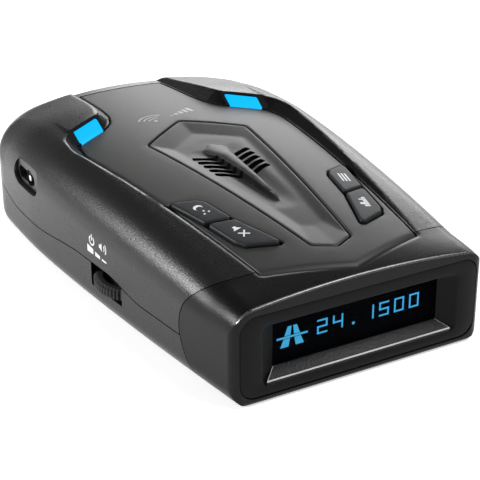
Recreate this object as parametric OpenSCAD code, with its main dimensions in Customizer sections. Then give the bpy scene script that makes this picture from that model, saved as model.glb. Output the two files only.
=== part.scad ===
// Windshield radar detector. Display end toward -Y, antenna end toward +Y,
// +Z up, the underside on Z = 0. Every node is one real, separate piece.

/* [Body] */
// Overall length of the housing, mm
body_len = 114; // [113:0.5:116]
// Overall width at the widest place, mm
body_w = 71; // [70:0.5:72]
// Wall thickness of the shells, mm
wall = 2; // [1.8:0.1:2.2]
// Radius of the rounded lower edge, mm
foot_r = 3; // [2.5:0.1:3.5]
// Radius of the two antenna-end corners in plan, mm
rear_r = 16; // [15:0.5:17]

/* [Top] */
// Thickness of the top plate, mm
plate_t = 1.5; // [1.3:0.1:1.6]
// How far the shoulders stand above the plate at the alert windows, mm
shoulder_lift = 2.7; // [2.2:0.1:3]
// Depth of the sunk faces of the loudspeaker plate, mm
grille_dip = 1.0; // [0.9:0.1:1.2]
// How far the top of the spine lies under the top plate's surface, mm
spine_sunk = 0.1; // [0.05:0.05:0.3]
// Width of one louvre slot, mm
slot_w = 1.5; // [1.2:0.1:1.6]

/* [Buttons] */
// How far the button faces stand above the plate, mm
button_proud = 0.5; // [0.3:0.1:0.8]
// Gap between a button and the plate, mm
button_gap = 0.35; // [0.3:0.05:0.45]
// Diameter of the stem under each button, mm
stem_d = 2.8; // [2.6:0.1:3]

/* [Display] */
// Half width of the fascia, mm
fascia_hw = 26.8; // [26.4:0.1:27]
// Depth of the recess in front of the window, mm
recess_d = 2.2; // [1.8:0.1:2.4]
// Thickness of the display window, mm
window_t = 1.5; // [1.2:0.1:1.6]

/* [Volume wheel] */
// Radius of the wheel, mm
wheel_r = 9.5; // [9.2:0.1:9.8]
// Thickness of the wheel, mm
wheel_t = 2.5; // [2.3:0.1:2.7]
// Number of grip ribs
wheel_ribs = 64; // [56:2:68]

/* [Electronics] */
// Thickness of the circuit boards, mm
board_t = 1.6; // [1.2:0.1:1.6]
// Radius of the power socket bore, mm
socket_r = 1.85; // [1.8:0.05:2]
// Radius of the power socket pin, mm
pin_r = 0.65; // [0.5:0.05:0.8]
// Radius of the loudspeaker, mm
speaker_r = 11.4; // [11:0.1:11.5]

/* [Hidden] */
$fn = 32;

yf = -body_len/2;
yr = body_len/2;
hw = body_w/2;
face_hw = hw - 7.4;              // half width of the display face
widest_y = 24;
corner_y = yr - 1.3 - rear_r;    // where the rear corners start
corner_x = hw - 0.3 - rear_r;
front_r = 2.4;                   // plan radius of the cap's front corners
front_edge_r = 0.5;              // rounding of the cap's upper front edge
seam_x = 17.5;                   // plate corner where the cap seam meets it
seam_y = -48.8;
board_z = 11.5;                  // underside of the main board
btop = board_z + board_t;
sunk = plate_t + 2.5;            // top plate face to the inside of the housing
grille_t = grille_dip + 1.7;     // full depth of the loudspeaker plate
wheel_c = [-25.3, -11.5];
wheel_z = 5.7;
wheel_room = 1.5;                // free height over the wheel
socket_c = [25.2, 18.0];         // y, z of the power socket's bore
jack_c = [25.6, 18.4];           // y, z of the pill-shaped opening round the socket
jack_l = 13.6;
jack_h = 5.6;
spk_y = -8;
sock_x = -34.4;                  // outer end of the power socket
case_screws = [[25.5, -27], [-25.5, -27], [27, 41], [-27, 41]];
pcb_screws = [[22.5, -41], [-22.5, -41], [28, 6], [-28, 6]];
horn_screws = [[13, 24], [-13, 24]];

function clamp01(t) = max(0, min(1, t));
function ease(t) = let (u = clamp01(t)) u*u*(3 - 2*u);
function flip(p) = [-p[0], p[1]];
function mirrored(h) = concat(h, [for (i = [len(h)-1:-1:0]) flip(h[i])]);

// ---- plan outline: o is an inset all round ----
function side_w(y) = y < widest_y
  ? hw - 7.4*pow((widest_y - y)/(widest_y - yf), 1.45)
  : hw - 0.3*pow((y - widest_y)/(corner_y - widest_y), 2);
function bow(x) = yr - 1.46*pow(x/21.4, 2);
function plan_half(o) = let (fr = max(0.8, front_r - o), n = 15, xf = side_w(yf + fr) - o) concat(
  [for (i = [1:4]) [i/4*(xf - fr), yf + o]],
  [for (a = [-67.5:22.5:-20]) [xf - fr + fr*cos(a), yf + o + fr + fr*sin(a)]],
  [for (i = [0:n]) let (y = yf + o + fr + i/n*(corner_y - yf - o - fr)) [side_w(y) - o, y]],
  [for (a = [12:14:82]) [corner_x + (rear_r - o)*cos(a), corner_y + (rear_r - o)*sin(a)]],
  [for (x = [19:-5:4]) [x, bow(x) - o]]);

// ---- top surfaces ----
function plate_z(x, y) = 27.25 + 0.026*y - 0.00118*y*y - 0.0038*x*x;
function lift(y) = y < 18 ? shoulder_lift*clamp01((y - seam_y)/(18 - seam_y))
  : shoulder_lift - (shoulder_lift - 1.3)*ease((y - 30)/22);
function cap_drop(y) = y > seam_y ? 0 : 0.4*pow((seam_y - y)/(seam_y - yf), 1.3);
function crown_z(x, y) = plate_z(x, y) + lift(y) - cap_drop(y)
  + 0.0013*x*x*(1 - ease((y - yf)/11));
function round_drop(d, r) = d >= r ? 0 : r - sqrt(max(0, r*r - pow(r - max(d, 0), 2)));
function shoulder_r(y) = 4.2 + 3.8*(1 - pow(1 - clamp01((y - yf)/62), 2));
function rear_gap(x, y) = y < corner_y ? 99 : abs(x) > corner_x
  ? rear_r - norm([abs(x) - corner_x, y - corner_y]) : bow(x) - y;
function shell_z(x, y, o) = (o == 0 ? crown_z(x, y) : min(crown_z(x, y) - o, plate_z(x, y) - sunk))
  - max(round_drop(side_w(min(y, corner_y)) - o - abs(x), shoulder_r(y) - o),
        round_drop(y - yf - o, front_edge_r), round_drop(rear_gap(x, y) - o, 6 - o));

// ---- closed shell solid: rings from the underside up and in to the spine ----
rings = [0, 0.12, 0.45, 1.1, 2, 3.2, 4.8, 6.6, 8.6];
function toward(p, s) = let (q = [0, max(yf + 14, min(yr - 22, p[1]))], d = norm(q - p))
  p + (q - p)*min(s/d, 1);
function ring_pts(h, s) = mirrored([for (p = h) toward(p, s)]);
module shell(o) {
  h = plan_half(o);
  n = 2*len(h);
  fr = max(0.8, foot_r - o);
  low = [[fr, 0], [fr*0.3, fr*0.3], [0, fr]];
  inner = [0.14, 0.28, 0.42, 0.56, 0.7, 0.95];
  pts = concat(
    [for (l = low) for (p = ring_pts(h, l[0])) [p[0], p[1], o + l[1]]],
    [for (s = rings) for (p = ring_pts(h, s)) [p[0], p[1], shell_z(p[0], p[1], o)]],
    [for (f = inner) for (p = mirrored([for (a = h) let (b = toward(a, 8.6))
      b + ([0, max(yf + 14, min(yr - 22, a[1]))] - b)*f])) [p[0], p[1], shell_z(p[0], p[1], o)]]);
  k = len(low) + len(rings) + len(inner);
  polyhedron(pts, concat(
    [for (r = [0:k-2]) for (i = [0:n-1]) let (j = (i+1)%n) each
      [[r*n+i, (r+1)*n+i, (r+1)*n+j], [r*n+i, (r+1)*n+j, r*n+j]]],
    [for (i = [0:n/2-2]) each
      [[i, i+1, n-1-i], [i+1, n-2-i, n-1-i],
       [(k-1)*n+i, (k-1)*n+n-1-i, (k-1)*n+i+1], [(k-1)*n+i+1, (k-1)*n+n-1-i, (k-1)*n+n-2-i]]]));
}

// slab between two offsets of the plate surface
module skin(lo, hi, x0 = 34, y0 = -58, y1 = 60, nx = 10, ny = 16) {
  m = nx + 1;
  t = m*(ny + 1);
  g = [for (s = [lo, hi]) for (j = [0:ny]) for (i = [0:nx])
    let (x = -x0 + 2*x0*i/nx, y = y0 + (y1 - y0)*j/ny) [x, y, plate_z(x, y) + s]];
  polyhedron(g, concat(
    [for (j = [0:ny-1]) for (i = [0:nx-1]) let (a = j*m + i) each
      [[a, a+1, a+m+1], [a, a+m+1, a+m], [t+a, t+a+m+1, t+a+1], [t+a, t+a+m, t+a+m+1]]],
    [for (i = [0:nx-1]) let (b = ny*m + i) each
      [[i, t+i+1, i+1], [i, t+i, t+i+1], [b, b+1, t+b+1], [b, t+b+1, t+b]]],
    [for (j = [0:ny-1]) let (a = j*m, c = j*m + nx) each
      [[a, a+m, t+a+m], [a, t+a+m, t+a], [c, t+c+m, c+m], [c, t+c, t+c+m]]]));
}
module meshed() resize([0, 0, 0]) children();
module column(poly, z0 = -1, z1 = 40) translate([0, 0, z0]) linear_extrude(z1 - z0) polygon(poly);
module tray(lo, hi, poly) intersection() { skin(lo, hi); column(poly); }
// prism along X of an outline given in Y, Z
module across(poly, x0, x1) translate([x0, 0, 0]) rotate([90, 0, 90])
  linear_extrude(x1 - x0) polygon(poly);
module both() { children(); mirror([1, 0, 0]) children(); }
module rod(p, z0, z1, r) translate([p[0], p[1], z0]) cylinder(h = z1 - z0, r = r);

// ---- outlines ----
function grow(poly, d) = let (n = len(poly)) [for (i = [0:n-1])
  let (a = poly[(i+n-1)%n], b = poly[i], c = poly[(i+1)%n],
       u = (b - a)/norm(b - a), v = (c - b)/norm(c - b),
       m = [u[1], -u[0]] + [v[1], -v[0]], k = d/(m*m/2)) b + m*k];
tongue = [[16.2, 24.3], [13.4, 27.2], [11.9, 31], [11.3, 36], [10.8, 51]];
plate_half = concat([[seam_x, seam_y], [25, 14.6], [24.2, 20.5]], tongue);
plate_out = concat([[0, -54.7]], mirrored(plate_half));
valley_half = concat([[seam_x, seam_y], [25, 14.6], [24.2, 20.5]],
  [for (i = [0:3]) tongue[i]], [[10.6, 62]]);
valley_out = concat([[0, -54.7]], mirrored(valley_half));
grille_out = [[0, -47.6], [4.6, -45.3], [12.4, 9.8], [0, 19.1], [-12.4, 9.8], [-4.6, -45.3]];
// outline of the recess that a pair of buttons shares
pair_out = [[8.3, -43.1], [15.9, -39.9], [17.2, -37.6], [18.9, -28.4], [21.6, -16.6],
  [15.6, -19.3], [14.3, -21.3], [12.7, -30.3]];
// the two keys in it; the first edge of each faces the other key
rear_key = [[12.75, -29.95], [18.95, -28.05], [21.6, -16.6], [15.6, -19.3], [14.3, -21.3]];
front_key = [[18.8, -28.7], [12.6, -30.6], [8.3, -43.1], [15.9, -39.9], [17.2, -37.6]];
// moves the first edge of an outline by a and all the others by b
function edge_shift(poly, a, b) = let (n = len(poly)) [for (i = [0:n-1])
  let (p = poly[(i+n-1)%n], q = poly[i], r = poly[(i+1)%n], u = (q - p)/norm(q - p),
       v = (r - q)/norm(r - q), m1 = [u[1], -u[0]], m2 = [v[1], -v[0]],
       d1 = i == 1 ? a : b, d2 = i == 0 ? a : b, k = m1[0]*m2[1] - m1[1]*m2[0])
  q + [(d1*m2[1] - d2*m1[1])/k, (d2*m1[0] - d1*m2[0])/k]];
rear_stem = [16.9, -23.8];
front_stem = [14.3, -35.0];

function window_z(x, y) = 26.2 + 0.129*(x - 16.3) + 0.564*(y - 24.7);
lens_out = [[16.3, 24.7], [23.4, 21.3], [23.6, 24.7], [16.5, 28.2]];
frame_out = [[15.8, 24.8], [24.3, 20.7], [25.3, 21.4], [25.3, 24.4], [15.8, 28.9]];
module slanted(poly, z0, up) {
  n = len(poly);
  polyhedron(concat([for (p = poly) [p[0], p[1], z0]],
    [for (p = poly) [p[0], p[1], window_z(p[0], p[1]) + up]]),
    concat([[for (i = [0:n-1]) i]], [[for (i = [n-1:-1:0]) n+i]],
      [for (i = [0:n-1]) let (j = (i+1)%n) [i, n+i, n+j, j]]));
}
module lens_bar(poly, lo, hi) {
  polyhedron(concat([for (p = poly) [p[0], p[1], window_z(p[0], p[1]) + lo]],
    [for (p = poly) [p[0], p[1], window_z(p[0], p[1]) + hi]]),
    [[0, 1, 2, 3], [7, 6, 5, 4], [0, 4, 5, 1], [1, 5, 6, 2], [2, 6, 7, 3], [3, 7, 4, 0]]);
}
// valley with walls that lean outward, one up for one out
module valley() {
  a = valley_out;
  b = grow(a, 3.4);
  n = len(a);
  intersection() {
    skin(0, 9);
    polyhedron(concat([for (p = a) [p[0], p[1], plate_z(p[0], p[1]) - 0.6]],
      [for (i = [0:n-1]) [b[i][0], b[i][1], plate_z(a[i][0], a[i][1]) + 3]],
      [for (p = b) [p[0], p[1], 45]]),
      concat([[for (i = [0:n-1]) i]], [[for (i = [n-1:-1:0]) 2*n+i]],
        [for (r = [0, n]) for (i = [0:n-1]) let (j = (i+1)%n) each
          [[r+i, r+n+i, r+n+j], [r+i, r+n+j, r+j]]]));
  }
}
// parting line of the two housing halves, and the cap seam
function part_z(y) = 8.4 + 2.0*ease((y + 26)/14)*(1 - ease((y + 2)/24))
  + 4.5*ease((y - 30)/24);
part_line = [for (y = [yf-3:3:yr+3]) [y, part_z(y)]];
module below_part() across(concat([[yr+3, -5]], [[yf-3, -5]], part_line), -60, 60);
module above_part() across(concat(part_line, [[yr+3, 60], [yf-3, 60]]), -60, 60);
function seam_at(z) = -39.5 - 0.06*pow(z - 10.5, 2);
seam_line = [for (z = [-2:2:32]) [seam_at(z), z]];
module behind_seam() across(concat(seam_line, [[80, 32], [80, -2]]), -60, 60);
module before_seam() across(concat([[-90, -2]], seam_line, [[-90, 32]]), -60, 60);
module cavity() shell(wall);

// =================== shells ===================
module pill(c, len_, h, x0, x1) translate([x0, c[0], c[1]]) rotate([0, 90, 0])
  hull() for (s = [-1, 1]) translate([0, s*(len_ - h)/2, 0]) cylinder(h = x1 - x0, d = h, $fn = 20);

module upper_housing() color([0.16, 0.16, 0.17]) meshed() {
  difference() {
    union() {
      intersection() {
        difference() { shell(0); cavity(); }
        above_part();
        behind_seam();
      }
      intersection() {
        union() {
          for (p = case_screws) rod(p, 9, 26, 3, $fn = 20);
          difference() { rod([0, spk_y], 19.5, 26, speaker_r + 1.7); rod([0, spk_y], 19, 27, speaker_r + 0.15); }
        }
        intersection() { shell(0.5); above_part(); skin(-12, -2); }
      }
    }
    valley();
    tray(-plate_t, 9, grow(plate_out, 0.1));
    tray(-plate_t - 1.1, 9, grow(grille_out, 0.1));
    tray(-sunk - 0.1, 9, grow(grille_out, -0.9));
    both() column(grow(pair_out, 1.0), 18);
    both() column(frame_out, 18);
    rod([0, spk_y], 18, 30, speaker_r - 1.2);
    for (p = case_screws) rod(p, 6, 18, 1.25, $fn = 12);
    pill(jack_c, jack_l, jack_h, -60, -25);
    translate([-31.3, 19.1, 8]) cube([7.9, 13, 13.4]);
    translate([16, 50, 8.5]) cube([15, 12, 9]);
    translate([wheel_c[0], wheel_c[1], 0])
      cylinder(h = wheel_z + wheel_t + wheel_room, r = wheel_r + 0.6);
  }
}

module lower_housing() color([0.14, 0.14, 0.15]) meshed() {
  difference() {
    union() {
      intersection() {
        difference() { shell(0); cavity(); }
        below_part();
        behind_seam();
      }
      for (p = case_screws) rod(p, 1, 8.9, 3.6, $fn = 20);
      for (p = pcb_screws) rod(p, 1, board_z, 2.6, $fn = 20);
      for (p = horn_screws) rod(p, 1, 8, 2.6, $fn = 20);
      translate([-14, 38, 1]) cube([28, 17, 6]);
    }
    for (p = case_screws) { rod(p, -1, 5, 2.8, $fn = 20); rod(p, 4, 12, 1.6, $fn = 16); }
    for (p = pcb_screws) rod(p, 3, 13, 0.9, $fn = 12);
    for (p = horn_screws) rod(p, 3, 13, 0.9, $fn = 12);
    translate([-12, 40, 1.6]) cube([24, 30, 4.4]);
    translate([-6.4, 29.6, -1]) cube([12.8, 8.4, 5]);
    translate([-4, 37, 1.9]) cube([8, 8, 2.9]);
    translate([16, 50, 8.5]) cube([15, 12, 9]);
    translate([wheel_c[0], wheel_c[1], wheel_z - 0.5]) cylinder(h = 9, r = wheel_r + 0.6);
    translate([-18, -24, -1]) cube([36, 40, 1.25]);
  }
}

module fascia_rect(g, y0, y1) across_z([fascia_hw + g, 1.3 - g, 18.6 + g, 3.4], y0, y1);
// rounded rectangle [half width, low z, high z, corner] swept along Y
module across_z(r, y0, y1) translate([0, y1, 0]) rotate([90, 0, 0]) linear_extrude(y1 - y0)
  hull() for (sx = [-1, 1]) for (z = [r[1] + r[3], r[2] - r[3]])
    translate([sx*(r[0] - r[3]), z]) circle(r = r[3], $fn = 24);

strap = [[26.3, -50], [27.6, -50], [28.3, -42], [28.2, -39.6], [28.6, -34], [27.2, -34], [26.9, -42]];
module front_cap() color([0.1, 0.1, 0.11]) meshed() {
  difference() {
    intersection() { shell(0); before_seam(); }
    intersection() { cavity(); translate([-50, -51.8, -1]) cube([100, 80, 40]); }
    across_z([25.4, 3, 17.2, 3], -60, -50);
    fascia_rect(0, yf - 1, -53);
    tray(-plate_t, 9, grow(plate_out, 0.1));
  }
  // two straps that reach back inside the housing walls
  both() column(strap, 12.5, 14.4);
}

// =================== display end ===================
module recess() hull() {
  across_z([22.1, 3.5, 16.0, 1.4], yf - 1, yf + 0.1);
  across_z([18.7, 5.3, 15.0, 0.5], yf + recess_d, yf + recess_d + 0.1);
}
module display_fascia() color([0.12, 0.12, 0.13]) meshed() difference() {
  fascia_rect(0, yf + 0.1, -53);
  recess();
  across_z([20.2, 4.9, 16.1, 0.8], yf + recess_d, -50);
}
module display_sill() color([0.35, 0.35, 0.37]) meshed() intersection() {
  across([[yf + 0.1, 3.52], [yf + 0.1, 4.2], [yf + recess_d, 6.0], [yf + recess_d, 5.32]], -21.4, 21.4);
  column([[-21.3, yf], [21.3, yf], [18.5, yf + recess_d + 0.2], [-18.5, yf + recess_d + 0.2]]);
}
module display_window() color([0.02, 0.02, 0.03, 0.85])
  across_z([20.2, 4.9, 16.1, 0.8], yf + recess_d, yf + recess_d + window_t);
module display_holder() color([0.85, 0.85, 0.83]) difference() {
  union() {
    translate([-24.4, -51.8, 3]) cube([48.8, 2.4, 13.2]);
    translate([-26.4, -51.8, 4]) cube([52.8, 2.4, 9.5]);
  }
  translate([-19.6, -52, 5.2]) cube([39.2, 3, 10.6]);
}
module display_glass() color([0.05, 0.3, 0.35]) translate([-19.6, -52.9, 5.2]) cube([39.2, 3.5, 10.6]);
module display_board() color([0.05, 0.35, 0.16]) translate([-24, -49.4, 3.2]) cube([48, board_t, 13]);
module display_ribbon() color([0.75, 0.5, 0.2]) across([[-47.8, 7], [-46.9, 6.2], [-44.2, 6.2], [-43.2, 7],
  [-43.2, board_z], [-43.5, board_z], [-43.5, 7.15], [-44.35, 6.5], [-46.75, 6.5], [-47.5, 7.1],
  [-47.5, 9], [-47.8, 9]], -8, 8);

// =================== top ===================
module top_plate() color([0.3, 0.3, 0.31]) meshed() difference() {
  intersection() { skin(-plate_t, 0, 34, -58, 60, 10, 24); column(plate_out); }
  column(grow(grille_out, 0.05));
  both() column(pair_out);
}

// the loudspeaker plate: rim, sunk faces, a spine and louvres each side
dip_out = [[0, -38.5], [3.4, -36], [8.0, 6.2], [0, 12.2], [-8.0, 6.2], [-3.4, -36]];
spine_out = [[0, -27.2], [1.1, -12.5], [1.9, -3], [3.5, 2.4], [0, 4.6], [-3.5, 2.4], [-1.9, -3],
  [-1.1, -12.5]];
spine_top = [-grille_dip - 0.1, -spine_sunk, -spine_sunk, -0.8, -0.8, -0.8, -spine_sunk, -spine_sunk];
function pz(p, s) = [p[0], p[1], plate_z(p[0], p[1]) + s];
module grille_top() {
  // rim ring, dip ring, under ring
  n = 6;
  pts = concat([for (p = grille_out) pz(p, 0)], [for (p = dip_out) pz(p, -grille_dip)],
    [pz([0, -30], -grille_dip)], [pz([0, 0], -grille_dip)],
    [for (p = grille_out) pz(p, -plate_t)], [for (p = grow(grille_out, -1)) pz(p, -plate_t)],
    [for (p = grow(grille_out, -1)) pz(p, -grille_t)], [pz([0, -30], -grille_t)], [pz([0, 0], -grille_t)]);
  polyhedron(pts, concat(
    [for (i = [0:n-1]) let (j = (i+1)%n) each [[i, n+j, j], [i, n+i, n+j]]],
    [[6, 12, 7], [7, 12, 8], [8, 12, 13], [8, 13, 9], [9, 13, 10], [10, 13, 12], [10, 12, 11], [11, 12, 6]],
    [for (i = [0:n-1]) let (j = (i+1)%n) each [[i, j, 14+j], [i, 14+j, 14+i],
      [14+i, 14+j, 20+j], [14+i, 20+j, 20+i], [20+i, 20+j, 26+j], [20+i, 26+j, 26+i]]],
    [[26, 27, 32], [27, 28, 32], [28, 33, 32], [28, 29, 33], [29, 30, 33], [30, 32, 33],
     [30, 31, 32], [31, 26, 32]]));
}
// the raised spine, on a foot a little wider than its top
module spine() {
  n = len(spine_out);
  foot = [for (p = spine_out) [p[0]*1.25, p[1]]];
  pts = concat([for (p = foot) pz(p, -grille_dip - 0.7)], [for (i = [0:n-1]) pz(spine_out[i], spine_top[i])]);
  strip = [[0, 1, 7], [1, 6, 7], [1, 2, 6], [2, 5, 6], [2, 3, 5], [3, 4, 5]];
  polyhedron(pts, concat(strip, [for (t = strip) [n + t[2], n + t[1], n + t[0]]],
    [for (i = [0:n-1]) let (j = (i+1)%n) each [[i, n+i, n+j], [i, n+j, j]]]));
}
// one curved slot on the +X side; i counts from the rear
module louvre(i) {
  y = -0.9 - 2.35*i;
  p = [[6.9 - 0.1*i, y], [4.6 - 0.1*i, y - 0.75], [2.6 - 0.14*i, y - 1.6], [2.1 - 0.2*i, y - 2.2]];
  w = [slot_w, slot_w, slot_w*0.9, slot_w*0.65];
  translate([0, 0, 15]) linear_extrude(14) for (k = [0:2])
    hull() for (q = [k, k+1]) translate(p[q]) circle(d = w[q], $fn = 10);
}
module speaker_plate() color([0.33, 0.33, 0.34]) meshed() difference() {
  union() {
    grille_top();
    spine();
  }
  both() for (i = [0:4]) louvre(i);
}

module key_slice(poly, lo, hi) intersection() { skin(lo, hi, 24, -46, -12, 6, 6); column(poly); }
module button(key, stem) color([0.2, 0.21, 0.23]) {
  meshed() {
    hull() {
      key_slice(edge_shift(key, 0, -button_gap), -plate_t - 0.3, button_proud - 0.35);
      key_slice(edge_shift(key, -0.45, -button_gap - 0.45), -plate_t - 0.3, button_proud);
    }
    key_slice(edge_shift(key, 0, 0.45), -plate_t - 1.1, -plate_t - 0.1);
  }
  translate([stem[0], stem[1], btop + 3.9]) cylinder(h = 22.6 - btop - 3.9, d = stem_d);
}
module dark_button() mirror([1, 0, 0]) button(rear_key, rear_stem);
module quiet_button() mirror([1, 0, 0]) button(front_key, front_stem);
module menu_button() button(rear_key, rear_stem);
module city_button() button(front_key, front_stem);

module right_window_frame() color([0.04, 0.04, 0.05]) difference() {
  slanted(frame_out, 21.9, 0.25);
  lens_bar(lens_out, -1.2, 3);
  translate([18, 23.9, 20]) cube([4, 1.9, 8]);
}
module left_window_frame() mirror([1, 0, 0]) right_window_frame();
module right_alert_lens() color([0, 0.6, 1]) lens_bar(lens_out, -1.2, 0.1);
module left_alert_lens() mirror([1, 0, 0]) right_alert_lens();
module right_light_guide() color([0.9, 0.95, 1, 0.8]) difference() {
  translate([18.05, 23.95, btop + 2]) cube([3.9, 1.8, 12]);
  lens_bar(grow(lens_out, 4), -1.2, 9);
}
module left_light_guide() mirror([1, 0, 0]) right_light_guide();
module alert_leds() color([0.95, 0.95, 0.85]) both() translate([18.4, 23.6, btop]) cube([3.2, 2.4, 1.8]);

// =================== controls and power ===================
module volume_wheel() color([0.08, 0.08, 0.09]) translate([wheel_c[0], wheel_c[1], wheel_z]) difference() {
  union() {
    cylinder(h = wheel_t, r = wheel_r - 0.35, $fn = 64);
    for (i = [0:wheel_ribs-1]) rotate([0, 0, i*360/wheel_ribs])
      translate([wheel_r - 0.8, -0.25, 0.3]) cube([0.8, 0.5, wheel_t - 0.6]);
  }
  translate([0, 0, -1]) cylinder(h = wheel_t + 2, r = 2.05);
  difference() { translate([0, 0, wheel_t - 1]) cylinder(h = 2, r = 7.6, $fn = 48);
    translate([0, 0, wheel_t - 2]) cylinder(h = 4, r = 3.6); }
}
module volume_pot() color([0.25, 0.27, 0.4]) translate([wheel_c[0], wheel_c[1], 0]) {
  translate([0, 0, wheel_z + wheel_t + 0.2]) cylinder(h = board_z - wheel_z - wheel_t - 0.2, r = 5.5);
  translate([0, 0, wheel_z - 0.9]) cylinder(h = 6, r = 2);
}
module wheel_clip() color([0.7, 0.7, 0.72]) translate([wheel_c[0], wheel_c[1], wheel_z - 0.7]) difference() {
  cylinder(h = 0.5, r = 3.2);
  translate([0, 0, -1]) cylinder(h = 3, r = 2);
}
module power_socket() color([0.07, 0.07, 0.08]) difference() {
  union() {
    pill(jack_c, jack_l - 0.3, jack_h - 0.3, sock_x, -24);
    translate([-31.2, 19.2, btop]) cube([7.7, 12.8, 8.2]);
  }
  pill([26.9, socket_c[1]], 9, 2.8, sock_x - 1, sock_x + 1.4);
  translate([sock_x - 1, socket_c[0], socket_c[1]]) rotate([0, 90, 0]) cylinder(h = 9.5, r = socket_r);
}
module socket_pin() color([0.85, 0.8, 0.6]) translate([sock_x + 0.1, socket_c[0], socket_c[1]])
  rotate([0, 90, 0]) cylinder(h = 8.4, r = pin_r);

// =================== electronics ===================
board_half = [[25.4, -46], [26.2, -37], [28.6, -30], [30.2, -14], [31.4, 8], [31.8, 30], [31.2, 40], [27.5, 47.5],
  [16.5, 47.5], [16.5, 15]];
module main_board() color([0.05, 0.35, 0.16]) difference() {
  translate([0, 0, board_z]) linear_extrude(board_t) polygon(mirrored(board_half));
  for (p = case_screws) rod(p, 5, 20, 3.9);
  for (p = pcb_screws) rod(p, 5, 20, 1.3);
}
module tact_switches() color([0.1, 0.1, 0.1]) both() for (p = [rear_stem, front_stem])
  difference() {
    translate([p[0] - 3, p[1] - 3, btop]) cube([6, 6, 4.5]);
    rod(p, btop + 3.1, btop + 6, stem_d/2 + 0.35);
  }
module board_chips() color([0.08, 0.08, 0.1]) for (c = [[-5, -32, 9, 9], [4, 6, 7, 5], [-14, 2, 5, 4],
  [24, -12, 4, 5], [21, 32, 6, 5]]) translate([c[0], c[1], btop]) cube([c[2], c[3], 1.2]);
module board_capacitors() color([0.25, 0.3, 0.6]) for (c = [[-18, -8, 2.5, 6], [-22, 14, 2.5, 6],
  [20, -4, 2, 5], [26, 16, 2, 5]]) rod([c[0], c[1]], btop, btop + c[3], c[2]);

module horn_antenna() color([0.72, 0.73, 0.75]) difference() {
  union() {
    hull() {
      translate([-9, 36, 7.5]) cube([18, 0.5, 10.5]);
      translate([-14.5, 52.5, 7.2]) cube([29, 1, 12.4]);
    }
    translate([-9, 18, 7.5]) cube([18, 18.5, 10.5]);
    translate([-16, 21, 8]) cube([32, 6, 1.4]);
  }
  hull() {
    translate([-7.6, 36, 8.9]) cube([15.2, 0.5, 7.7]);
    translate([-13.3, 53, 8.4]) cube([26.6, 1, 10]);
  }
  translate([-7.6, 20, 8.9]) cube([15.2, 17, 7.7]);
  for (p = horn_screws) rod(p, 5, 12, 1.3);
}
module mixer_board() color([0.1, 0.3, 0.2]) translate([-10, 18, 18]) cube([20, 18, 1]);
module rf_shield() color([0.75, 0.75, 0.76]) difference() {
  translate([-9.4, 18.6, 19]) cube([18.8, 16.8, 2.6]);
  translate([-9, 19, 18.8]) cube([18, 16, 2.4]);
}
module laser_window() color([0.1, 0.02, 0.05]) meshed() intersection() {
  translate([16.05, 50.05, 8.55]) cube([14.9, 11.9, 8.9]);
  difference() { shell(0.15); shell(1.6); }
}
module laser_lens() color([0.8, 0.85, 0.95, 0.7]) translate([21, 48.4, 15.4]) intersection() {
  rotate([-90, 0, 0]) cylinder(h = 3, r = 2.2);
  translate([0, -3.6, 0]) sphere(r = 5.2);
}
module laser_sensor() color([0.12, 0.1, 0.12]) {
  translate([18.2, 43.8, btop]) cube([5.6, 3, 5]);
  translate([21, 46.7, 15.4]) rotate([-90, 0, 0]) cylinder(h = 1.7, r = 1.6);
}

module speaker_felt() color([0.12, 0.12, 0.12]) rod([0, spk_y], 21.8, 22.2, speaker_r);
module speaker_frame() color([0.3, 0.3, 0.33]) translate([0, spk_y, 0]) difference() {
  union() {
    translate([0, 0, 20.8]) cylinder(h = 1, r = speaker_r);
    translate([0, 0, 17.4]) cylinder(h = 3.5, r1 = 8, r2 = 10.4, $fn = 48);
  }
  translate([0, 0, 18.4]) cylinder(h = 3.5, r1 = 6.4, r2 = 9.9, $fn = 48);
  translate([0, 0, 16.4]) cylinder(h = 3, r = 4);
}
module speaker_cone() color([0.5, 0.45, 0.35]) translate([0, spk_y, 0]) difference() {
  union() {
    translate([0, 0, 19.4]) cylinder(h = 2, r1 = 4.2, r2 = 9.2, $fn = 48);
    translate([0, 0, 17.5]) cylinder(h = 2, r = 3.6);
  }
  translate([0, 0, 19.8]) cylinder(h = 2, r1 = 4.2, r2 = 9.2, $fn = 48);
}
module speaker_magnet() color([0.4, 0.4, 0.42]) rod([0, spk_y], 14.4, 17.4, 7);

module bracket_release() color([0.5, 0.1, 0.1]) {
  translate([-6, 30, 0.3]) cube([12, 7.6, 2.2]);
  translate([-7.4, 30, 2.1]) cube([14.8, 7.6, 1]);
  translate([-3.6, 36, 2.1]) cube([7.2, 7, 1]);
}
module rating_label() color([0.85, 0.85, 0.86]) translate([-17.6, -23.6, 0.02]) cube([35.2, 39.2, 0.23]);

// =================== screws ===================
module screw(head_r, head_h, shank_r, shank_l) {
  difference() {
    cylinder(h = head_h, r = head_r, $fn = 24);
    for (a = [0, 90]) rotate([0, 0, a]) translate([-head_r*0.6, -0.25, -0.1]) cube([head_r*1.2, 0.5, head_h*0.5]);
  }
  translate([0, 0, head_h]) cylinder(h = shank_l, r = shank_r, $fn = 20);
}
module housing_screws() color([0.5, 0.5, 0.52]) for (p = case_screws)
  translate([p[0], p[1], 3]) screw(2.6, 2, 1.25, 10);
module board_screws() color([0.6, 0.6, 0.62]) for (p = pcb_screws)
  translate([p[0], p[1], btop + 1.5]) mirror([0, 0, 1]) screw(2.2, 1.5, 0.9, 7);
module antenna_screws() color([0.6, 0.6, 0.62]) for (p = horn_screws)
  translate([p[0], p[1], 10.8]) mirror([0, 0, 1]) screw(2, 1.4, 0.9, 5.5);

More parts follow.
